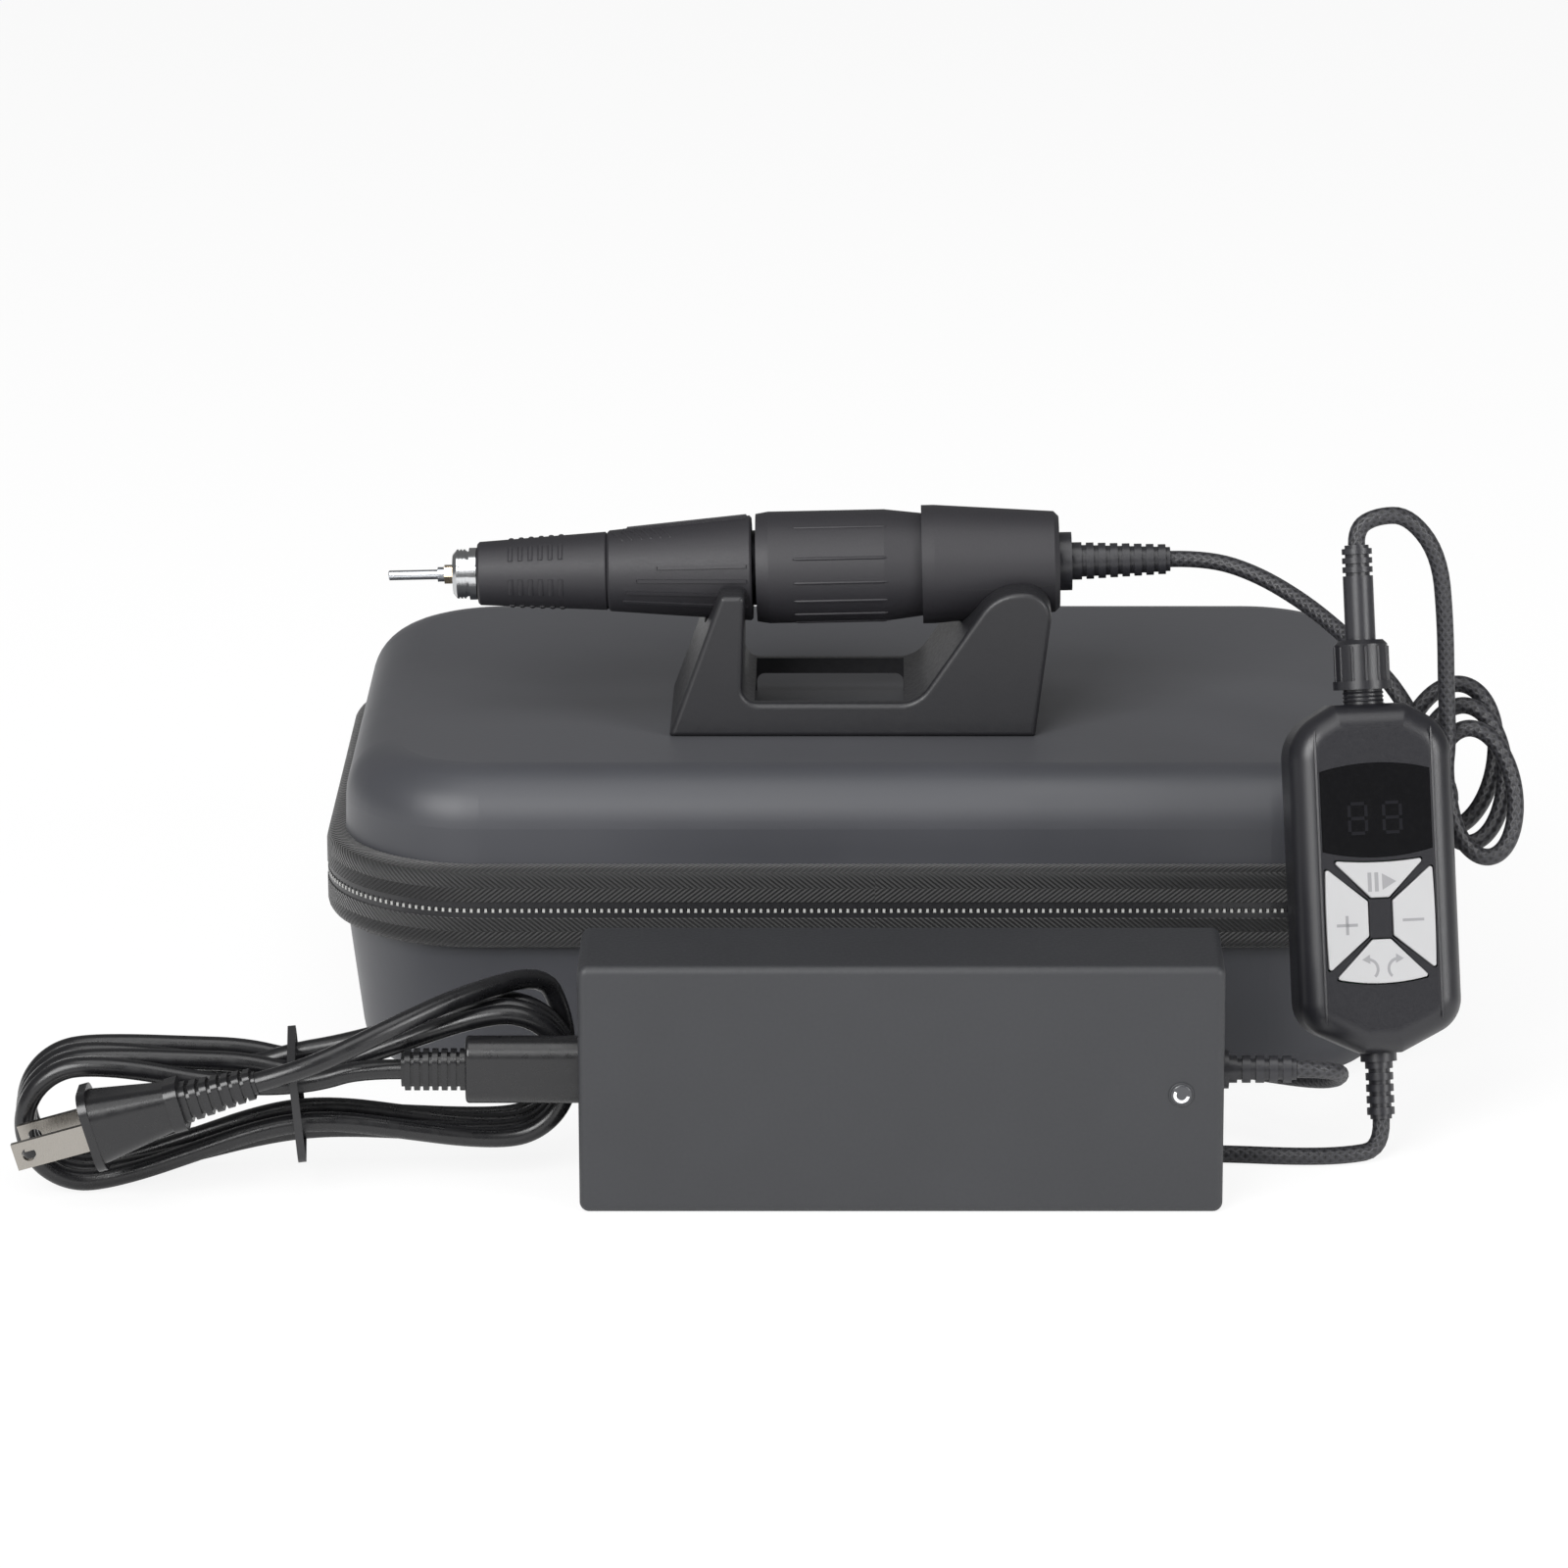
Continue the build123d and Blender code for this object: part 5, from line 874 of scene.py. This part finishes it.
class Cord:
    """A cord along a smooth line, as a tube whose UV map holds real lengths."""

    def __init__(self, name: str, points: list[tuple[float, float, float]], radius: float) -> None:
        """Draw the cord's line.

        Args:
            name: The cord's name.
            points: Control points in millimetres.
            radius: Half its thickness in millimetres.
        """
        self.name = name
        self.radius = radius * MM
        curve = bpy.data.curves.new(name, "CURVE")
        curve.dimensions = "3D"
        curve.resolution_u = 6
        spline = curve.splines.new("NURBS")
        spline.points.add(len(points) - 1)
        for target, point in zip(spline.points, points):
            target.co = (*[c * MM for c in point], 1.0)
        spline.order_u = 3
        spline.use_endpoint_u = True
        self.curve = curve
        self.drawn = bpy.data.objects.new(name + "_line", curve)
        bpy.context.scene.collection.objects.link(self.drawn)
        bpy.context.view_layer.update()
        graph = bpy.context.evaluated_depsgraph_get()
        line = bpy.data.meshes.new_from_object(self.drawn.evaluated_get(graph))
        self.path = [vertex.co.copy() for vertex in line.vertices]
        bpy.data.meshes.remove(line)

    def length(self) -> float:
        """The cord's length in metres."""
        return sum((b - a).length for a, b in zip(self.path, self.path[1:]))

    def tube(self, material: bpy.types.Material, body: Body, sides: int = 14) -> bpy.types.Object:
        """Make the tube round the line.

        Args:
            material: What the cord is made of.
            body: The body that it moves with.
            sides: How many sides the tube has.

        Returns:
            The tube's object.
        """
        shape = bmesh.new()
        grid = shape.loops.layers.uv.new("UVMap")
        heading = (self.path[1] - self.path[0]).normalized()
        turned = heading.to_track_quat("Z", "Y").to_matrix().to_4x4()
        placed = Matrix.Translation(self.path[0]) @ turned
        ring = list(bmesh.ops.create_circle(shape, segments=sides, radius=self.radius, matrix=placed)["verts"])
        edges = list(shape.edges)
        travelled = 0.0
        girth = 2 * math.pi * self.radius
        order = {vertex: i for i, vertex in enumerate(ring)}
        for i in range(1, len(self.path)):
            ahead = self.path[min(i + 1, len(self.path) - 1)] - self.path[i - 1]
            ahead = ahead.normalized() if ahead.length else heading
            step = (self.path[i] - self.path[i - 1]).length
            made = bmesh.ops.extrude_edge_only(shape, edges=edges)["geom"]
            verts = [g for g in made if isinstance(g, bmesh.types.BMVert)]
            faces = [g for g in made if isinstance(g, bmesh.types.BMFace)]
            swing = heading.rotation_difference(ahead).to_matrix()
            bmesh.ops.rotate(shape, cent=self.path[i - 1], matrix=swing, verts=verts)
            bmesh.ops.translate(shape, vec=self.path[i] - self.path[i - 1], verts=verts)
            fresh = set(verts)
            for vertex in verts:
                for edge in vertex.link_edges:
                    other = edge.other_vert(vertex)
                    if other not in fresh and other in order:
                        order[vertex] = order[other]
            for face in faces:
                numbers = [order[loop.vert] for loop in face.loops]
                wraps = max(numbers) - min(numbers) > 1
                for loop, number in zip(face.loops, numbers):
                    across = number + sides if wraps and number == 0 else number
                    along = travelled + (step if loop.vert in fresh else 0.0)
                    loop[grid].uv = (along, across / sides * girth)
            edges = [g for g in made if isinstance(g, bmesh.types.BMEdge) and fresh.issuperset(g.verts)]
            travelled += step
            heading = ahead
        bmesh.ops.holes_fill(shape, edges=[edge for edge in shape.edges if edge.is_boundary], sides=0)
        bmesh.ops.recalc_face_normals(shape, faces=shape.faces)
        mesh = mesh_from(shape, self.name)
        bpy.data.objects.remove(self.drawn)
        bpy.data.curves.remove(self.curve)
        return new_piece(self.name, mesh, material, body)


@dataclass
class HandpieceCord:
    """The braided cord from the handpiece, through loose loops, to the plug on the controller."""

    radius: float = 2.0
    plane_origin: tuple[float, float, float] = (131.0, -103.5, 52.0)
    lean: float = math.radians(16.5)
    quarters: int = 14
    start_centre: tuple[float, float] = (2.0, 40.0)
    end_centre: tuple[float, float] = (11.0, 25.0)
    start_half: tuple[float, float] = (10.5, 17.0)
    end_half: tuple[float, float] = (8.0, 13.5)
    start_tilt: float = 20.0
    end_tilt: float = -12.0
    back: float = -20.9
    pitch: float = 5.0
    first_run: list[tuple[float, float, float]] = field(
        default_factory=lambda: [
            (70.783, -26.5, 116.145),
            (79.781, -26.5, 116.341),
            (91.0, -31.0, 113.9),
            (102.5, -39.0, 108.8),
            (112.5, -49.0, 102.5),
            (119.0, -58.5, 97.6),
            (123.6, -65.2, 93.4),
            (127.0, -69.0, 88.0),
        ]
    )
    last_run: list[tuple[float, float, float]] = field(
        default_factory=lambda: [
            (132.57, -91.65, 82.04),
            (133.4, -89.3, 88.5),
            (132.8, -87.8, 101.5),
            (132.3, -87.4, 117.0),
            (130.6, -87.6, 133.2),
            (123.2, -88.2, 142.9),
            (115.9, -88.9, 142.9),
            (110.974, -89.126, 140.055),
            (111.148, -90.243, 136.218),
        ]
    )

    def loop_place(self, quarter: float) -> tuple[float, float, float]:
        """A place on the loose loops.

        Args:
            quarter: Quarter turns from the right side of the first loop.

        Returns:
            The place in millimetres.
        """
        share = quarter / self.quarters
        angle = (quarter + 1) * math.pi / 2
        swell = 1 / math.cos(math.pi / 16)
        half_width = (self.start_half[0] + (self.end_half[0] - self.start_half[0]) * share) * swell
        half_height = (self.start_half[1] + (self.end_half[1] - self.start_half[1]) * share) * swell
        leaning = math.radians(self.start_tilt + (self.end_tilt - self.start_tilt) * share)
        aside = half_width * math.sin(angle)
        along = half_height * math.cos(angle)
        across = self.start_centre[0] + (self.end_centre[0] - self.start_centre[0]) * share
        across += aside * math.cos(leaning) + along * math.sin(leaning)
        up = self.start_centre[1] + (self.end_centre[1] - self.start_centre[1]) * share
        up += along * math.cos(leaning) - aside * math.sin(leaning)
        out = self.back + self.pitch * quarter / 4
        x, y, z = self.plane_origin
        up_y, up_z = math.sin(self.lean), math.cos(self.lean)
        return (x + across, y + up * up_y - out * up_z, z + up * up_z + out * up_y)

    def build(self, material: bpy.types.Material) -> None:
        """Args:
            material: The braid.
        """
        free = Cord("handpiece_cord_braided", self.first_run, self.radius)
        free_length = free.length()
        tube = free.tube(material, Body.HANDPIECE)
        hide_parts("handpiece_cord")
        steps = [0.5 + 0.25 * i for i in range(4 * self.quarters - 1)]
        places = [self.loop_place(step) for step in steps]
        entry = [(127.12, -69.13, 87.81), (130.0, -72.3, 83.6)]
        looped = Cord("handpiece_cord_loops", entry + places + self.last_run, self.radius)
        looped_length = looped.length()
        tube = looped.tube(material, Body.CASE)
        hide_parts("cord_bundle", "cord_plug_run")


@dataclass
class AdapterCord:
    """The braided cord from the adapter, coiled behind it, and on to the controller."""

    radius: float = 2.0
    centre: tuple[float, float] = (18.0, -108.3)
    floor: float = 2.05
    outer: float = 24.5
    layers: int = 4
    spiral: int = 5
    pitch: float = 5.1
    rise: float = 4.6
    out_run: list[tuple[float, float, float]] = field(
        default_factory=lambda: [
            (95.65, -151.0, 29.2),
            (101.65, -151.0, 29.2),
            (107.0, -145.5, 26.4),
            (104.5, -134.5, 20.6),
            (91.0, -120.0, 17.4),
            (72.0, -103.0, 16.0),
            (52.0, -88.5, 15.8),
            (34.0, -83.8, 15.85),
        ]
    )
    in_run: list[tuple[float, float, float]] = field(
        default_factory=lambda: [
            (36.0, -132.8, 2.05),
            (58.0, -131.2, 2.05),
            (80.0, -131.4, 2.05),
            (97.0, -133.6, 2.05),
            (108.5, -133.0, 2.1),
            (117.199, -129.216, 2.409),
            (116.896, -127.261, 9.123),
        ]
    )

    def coil_place(self, quarter: float) -> tuple[float, float, float]:
        """A place on the coil.

        Args:
            quarter: Quarter turns from its back, top layer first.

        Returns:
            The place in millimetres.
        """
        layer_quarters = self.spiral + 2
        layer = min(int(quarter // layer_quarters), self.layers - 1)
        into = quarter - layer * layer_quarters
        wound = min(into, self.spiral) * self.pitch / 4
        span = self.spiral * self.pitch / 4
        radius = (self.outer - (wound if layer % 2 == 0 else span - wound)) / math.cos(math.pi / 16)
        climb = max(into - self.spiral, 0) / 2
        height = self.floor + (self.layers - 1 - layer - climb) * self.rise
        angle = math.pi / 2 + quarter * math.pi / 2
        return (self.centre[0] + radius * math.cos(angle), self.centre[1] + radius * math.sin(angle), height)

    def build(self, material: bpy.types.Material) -> None:
        """Args:
            material: The braid.
        """
        total = self.layers * self.spiral + (self.layers - 1) * 2
        coil = [self.coil_place(i / 4) for i in range(1, 4 * total)]
        cord = Cord("adapter_cord", self.out_run + coil + self.in_run, self.radius)
        length = cord.length()
        tube = cord.tube(material, Body.CASE)
        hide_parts("dc_run_out", "dc_coil", "dc_run_in")


@dataclass
class MainsLead:
    """The mains lead: from the connector into a tied hank, and over its top to the plug."""

    radius: float = 2.3
    centre: tuple[float, float, float] = (-132.0, -143.0, 20.9)
    rise: float = math.radians(5.0)
    turn: float = math.radians(4.0)
    left: float = 62.0
    right: float = 62.0
    left_half: float = 13.9
    right_half: float = 14.5
    waists: tuple[float, float] = (8.8, 5.4)
    pitch: float = 5.1
    front: float = 7.6
    turns: int = 4
    plug_run: list[tuple[float, float, float]] = field(
        default_factory=lambda: [
            (-76.0, -128.5, 45.0),
            (-92.5, -143.5, 45.0),
            (-107.5, -155.5, 41.5),
            (-121.0, -162.0, 36.4),
            (-130.546, -165.5, 33.375),
            (-139.2, -165.5, 30.9),
        ]
    )

    def place(self, across: float, up: float, out: float) -> tuple[float, float, float]:
        """A place in the hank's own plane.

        Args:
            across: Along the hank, to the right.
            up: Across the hank, upwards.
            out: Out of the plane, to the front.

        Returns:
            The place in millimetres.
        """
        level = math.cos(self.rise)
        along = Vector((level * math.cos(self.turn), level * math.sin(self.turn), math.sin(self.rise)))
        normal = Vector((math.sin(self.turn), -math.cos(self.turn), 0.0))
        upward = normal.cross(along)
        spot = Vector(self.centre) + along * across + upward * up + normal * out
        return tuple(spot)

    def turn_shape(self, waist: float) -> list[tuple[float, float, float]]:
        """One turn from the top of the waist, going right: place across, place up and eighths of a turn.

        Args:
            waist: Half the waist's height on this turn.

        Returns:
            The places in order.
        """
        shape = [(0.0, waist, 0.0)]
        ends = ((1, self.right, self.right_half, 0.0), (-1, self.left, self.left_half, 4.0))
        for side, reach, half, base in ends:
            straight = reach - half
            swell = [(share, share * share * (3 - 2 * share)) for share in (0.22, 0.5, 0.78)]
            for share, ease in swell:
                shape.append((side * straight * share, side * (waist + (half - waist) * ease), base + share))
            bowed = half / math.cos(math.pi / 16)
            for step in range(9):
                angle = math.radians(90 - 22.5 * step)
                across = straight + bowed * math.cos(angle)
                shape.append((side * across, side * bowed * math.sin(angle), base + 1 + step / 4))
            for share, ease in reversed(swell):
                height = waist + (half - waist) * ease
                shape.append((side * straight * share, -side * height, base + 4 - share))
            if side == 1:
                shape.append((0.0, -waist, 4.0))
        return shape

    def build(self, material: bpy.types.Material) -> None:
        """Args:
            material: The sheath.
        """
        places = []
        for number in range(self.turns):
            for across, up, eighth in self.turn_shape(self.waists[number % 2]):
                step = number * 8 + eighth
                if step < 2.0:
                    continue
                out = self.front - self.pitch * (self.turns * 8 - step) / 8
                places.append((across, up, out, step))
        last_left = [p for p in places if p[3] >= 31.0]
        places = [p for p in places if p[3] < 31.0]
        hank = [self.place(across, up, out) for across, up, out, step in places]
        hank.append(self.place(last_left[0][0], last_left[0][1], last_left[0][2]))
        tail = [
            self.place(-36.0, 12.2, 7.1),
            self.place(-20.0, 7.2, 7.4),
            self.place(-6.0, 4.7, 7.6),
            self.place(6.0, 4.7, 7.7),
            (-117.5, -151.0, 29.2),
            (-107.45, -151.0, 29.2),
        ]
        start = self.place(self.right, 0.0, self.front - self.pitch * 30 / 8)
        lift = tuple(Vector(start) + Vector((-0.78, -0.05, 8.96)))
        route = list(reversed(tail)) + list(reversed(hank)) + [lift] + self.plug_run
        cord = Cord("mains_lead", route, self.radius)
        length = cord.length()
        tube = cord.tube(material, Body.CASE)
        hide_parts("lead_hank", "lead_plug_run")


@dataclass
class Studio:
    """The pale floor, the soft lamps and the camera at the photograph's angle."""

    camera_place: tuple[float, float, float] = (0.0, -1745.5, 569.05)
    pitch: float = 16.5
    lens: float = 170.1
    shift: float = -0.058
    floor_glow: float = 0.88
    sky: float = 0.22

    def camera(self) -> None:
        """Add the camera."""
        data = bpy.data.cameras.new("camera")
        data.lens = self.lens
        data.sensor_width = 36.0
        data.shift_x = self.shift
        data.clip_end = 20.0
        obj = bpy.data.objects.new("camera", data)
        bpy.context.scene.collection.objects.link(obj)
        obj.location = [c * MM for c in self.camera_place]
        obj.rotation_euler = (math.radians(90 - self.pitch), 0.0, 0.0)
        bpy.context.scene.camera = obj

    def lamp(self, name: str, place: tuple[float, float, float], size: float, power: float) -> None:
        """Args:
            name: The lamp's name.
            place: Where it hangs, in metres.
            size: Its side, in metres.
            power: Its power, in watts.
        """
        data = bpy.data.lights.new(name, "AREA")
        data.size = size
        data.energy = power
        obj = bpy.data.objects.new(name, data)
        bpy.context.scene.collection.objects.link(obj)
        obj.location = place
        aim = Vector((0.0, -0.05, 0.05)) - Vector(place)
        obj.rotation_euler = aim.to_track_quat("-Z", "Y").to_euler()

    def world(self) -> None:
        world = bpy.data.worlds.new("studio")
        world.use_nodes = True
        bpy.context.scene.world = world
        tree = world.node_tree
        tree.nodes.clear()
        rays = add_node(tree, "ShaderNodeLightPath")
        kinds = {0: rays.outputs["Is Camera Ray"], 1: rays.outputs["Is Transmission Ray"]}
        seen = add_node(tree, "ShaderNodeMath", {"operation": "MAXIMUM"}, kinds)
        soft = add_node(tree, "ShaderNodeBackground", {"Color": WHITE, "Strength": self.sky})
        white = add_node(tree, "ShaderNodeBackground", {"Color": WHITE, "Strength": 1.0})
        both = {0: seen.outputs[0], 1: soft.outputs[0], 2: white.outputs[0]}
        mixed = add_node(tree, "ShaderNodeMixShader", links=both)
        add_node(tree, "ShaderNodeOutputWorld", links={"Surface": mixed.outputs[0]})

    def floor(self) -> None:
        """Lay the white floor."""
        shape = bmesh.new()
        bmesh.ops.create_grid(shape, x_segments=8, y_segments=8, size=6.0)
        mesh = mesh_from(shape, "studio_floor")
        obj = bpy.data.objects.new("studio_floor", mesh)
        bpy.context.scene.collection.objects.link(obj)
        material, tree = blank_material("white_floor")
        place = add_node(tree, "ShaderNodeTexCoord").outputs["Object"]
        cloud = add_node(tree, "ShaderNodeTexNoise", {"Scale": 3.0}, {"Vector": place})
        gloss = spread_gloss(tree, cloud.outputs["Fac"], (0.75, 0.85), (0.0, 1.0))
        matt = add_node(
            tree,
            "ShaderNodeBsdfPrincipled",
            {"Base Color": WHITE, "Specular IOR Level": 0.1},
            {"Roughness": gloss},
        )
        lit = add_node(tree, "ShaderNodeEmission", {"Color": WHITE, "Strength": 1.0})
        rays = add_node(tree, "ShaderNodeLightPath")
        settings = {"operation": "MULTIPLY", 1: self.floor_glow}
        seen = add_node(tree, "ShaderNodeMath", settings, {0: rays.outputs["Is Camera Ray"]})
        mixed = add_node(
            tree, "ShaderNodeMixShader", links={0: seen.outputs[0], 1: matt.outputs[0], 2: lit.outputs[0]}
        )
        add_node(tree, "ShaderNodeOutputMaterial", links={"Surface": mixed.outputs[0]})
        mesh.materials.append(material)

    def build(self) -> None:
        """Make the whole stage."""
        self.camera()
        self.world()
        self.floor()
        self.lamp("key_lamp", (-1.0, -1.8, 1.3), 1.4, 62.0)
        self.lamp("fill_lamp", (1.6, -1.3, 0.8), 1.0, 24.0)
        self.lamp("top_lamp", (0.1, -0.6, 2.0), 1.4, 16.0)


class Dresser:
    """Gives each carried-over solid its finish."""

    def __init__(self) -> None:
        """Make every finish once."""
        self.finishes = {
            # Cloth-faced foam board: a satin slate shell with broad soft highlights
            "shell_board": FoamShell(),
            # Woven polyester tape: chevrons whose fine dark rows are painted shade between the ribs
            "zip_fabric": Herringbone(),
            # Nylon coil: a near-black row with small glints
            "zip_teeth": Moulded("nylon_coil", "#222224", 0.35),
            # Enamelled zinc slider: black, with a hard small highlight
            "zip_metal": Metal("black_enamelled_zinc", "#1c1c1e", 0.35),
            # Spark-textured ABS: a matt black that is a little lighter on its edges
            "cradle_plastic": Moulded("spark_textured_abs", "#1d1d20", 0.42, 0.5, 0.05),
            # Soft-touch lacquer on ABS: a warm, powdery black
            "grip_plastic": Moulded("soft_touch_coated_abs", "#212024", 0.54, 0.2, 0.01),
            # Polished stainless nose ring: bright, with dark bands
            "polished_steel": Metal("polished_stainless_steel", "#b9babc", 0.14),
            # Ground steel pin: a bright streak along its length
            "tool_steel": Metal("ground_tool_steel", "#c2c5ca", 0.22),
            # Anodised aluminium barrel: hidden, a dull black metal
            "barrel_alloy": Metal("black_anodised_aluminium", "#1b1b1d", 0.4),
            # Turned brass: the pale warm ring at the collet
            "brass_nut": Metal("turned_brass", "#c9b9a0", 0.25),
            # Laminated iron: hidden, a grey that doesn't shine
            "motor_iron": Metal("laminated_iron", "#5d5a58", 0.45),
            # Glass-filled nylon: hidden, a pale matt end cap
            "motor_end": Moulded("glass_filled_nylon", "#a7a69f", 0.5),
            # Moulded PVC boots and plugs: black with a soft sheen on each rib
            "boot_rubber": Moulded("moulded_pvc_boot", "#222226", 0.36, 0.25, 0.004),
            # Satin ABS housing: black with long soft highlights on its shoulders
            "controller_gloss": Moulded("satin_black_abs", "#19191d", 0.34, 0.2, 0.002),
            # Smoked acrylic pane: the blackest and smoothest face
            "screen": Moulded("smoked_acrylic", "#050507", 0.12, 0.6, 0.0005),
            # Epoxy-filled display: hidden behind the pane
            "display": Moulded("display_epoxy", "#4a4a4c", 0.4),
            # Glass-fibre board: hidden, green
            "circuit_board": Moulded("green_fibre_board", "#1f5c37", 0.45),
            # Silicone keys: the pale matt grey of the four buttons
            "button_grey": Moulded("grey_silicone_key", "#9f9fa0", 0.45, 0.3, 0.01, 0.04),
            # Nylon switches: hidden, black
            "switch_plastic": Moulded("black_switch_nylon", "#242426", 0.5),
            # Spark-textured polycarbonate: an even charcoal block
            "adapter_plastic": Moulded("spark_textured_pc", "#26272a", 0.5, 0.45, 0.05),
            # Taped windings: hidden, brown
            "wound_parts": Moulded("taped_winding", "#6b4a28", 0.55),
            # Diffused lens: a small dark dot in the adapter's front
            "lamp": Moulded("diffused_lens", "#3a3b3e", 0.2, 0.3, 0.001),
            # PVC sheath: the glossiest black, with a line of light along each strand
            "lead_plastic": Moulded("flexible_pvc_sheath", "#131315", 0.28, 1.5, 0.001, 0.05),
            # Nickel-plated brass blades: a warm, slightly brushed silver
            "blade_steel": Metal("nickel_plated_brass", "#96928c", 0.26),
            # PVC tie: a thin matt black loop
            "tie_plastic": Moulded("tie_pvc", "#1d1d1f", 0.45),
            # Braided polyester: near-black diamonds that glint, with painted shade in the grooves between
            # strands
            "braid": Braid(),
        }
        self.made = {slot: finish.build() for slot, finish in self.finishes.items()}

    def dress_nodes(self) -> None:
        """Give every solid the material of its slot."""
        slots = {part["node"]: part["material_slot"] for part in frame["record"]["subparts"]}
        for name, obj in frame["nodes"].items():
            material = self.made[slots[name]]
            obj.data.materials.clear()
            obj.data.materials.append(material)


def main() -> None:
    """Build every piece in order."""
    logging.basicConfig(level=logging.INFO, format="%(message)s")
    scene = bpy.context.scene
    scene.view_settings.view_transform = "Standard"
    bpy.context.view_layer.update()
    Studio().build()
    dresser = Dresser()
    dresser.dress_nodes()
    # Painted highlight: the lower row of teeth is the nylon coil in a pale grey that stands in for its glints.
    bright = Moulded("nylon_teeth_painted_highlight", "#a5a5a3", 0.35).build()
    ZipBand().build(dresser.made["zip_fabric"], bright, dresser.made["zip_teeth"])
    seam = Moulded("seam_shadow", "#0c0c0e", 0.6).build()
    HandpieceRelief().build(dresser.made["grip_plastic"], seam)
    ink = Moulded("grey_print", "#7e7e80", 0.5, 0.3, 0.004, 0.04).build()
    digits = Glow("dim_segment", "#18181b", 0.0).build()
    ControllerRelief().build(ink, digits, dresser.made["controller_gloss"])
    # The lamp's crescent is a painted reflection that glows faintly.
    AdapterRelief().build(dresser.made["adapter_plastic"], Glow("lamp_reflection", "#e8e8ea", 0.2).build())
    HandpieceCord().build(dresser.made["braid"])
    AdapterCord().build(dresser.made["braid"])
    MainsLead().build(dresser.made["lead_plastic"])


if __name__ == "__main__":
    main()
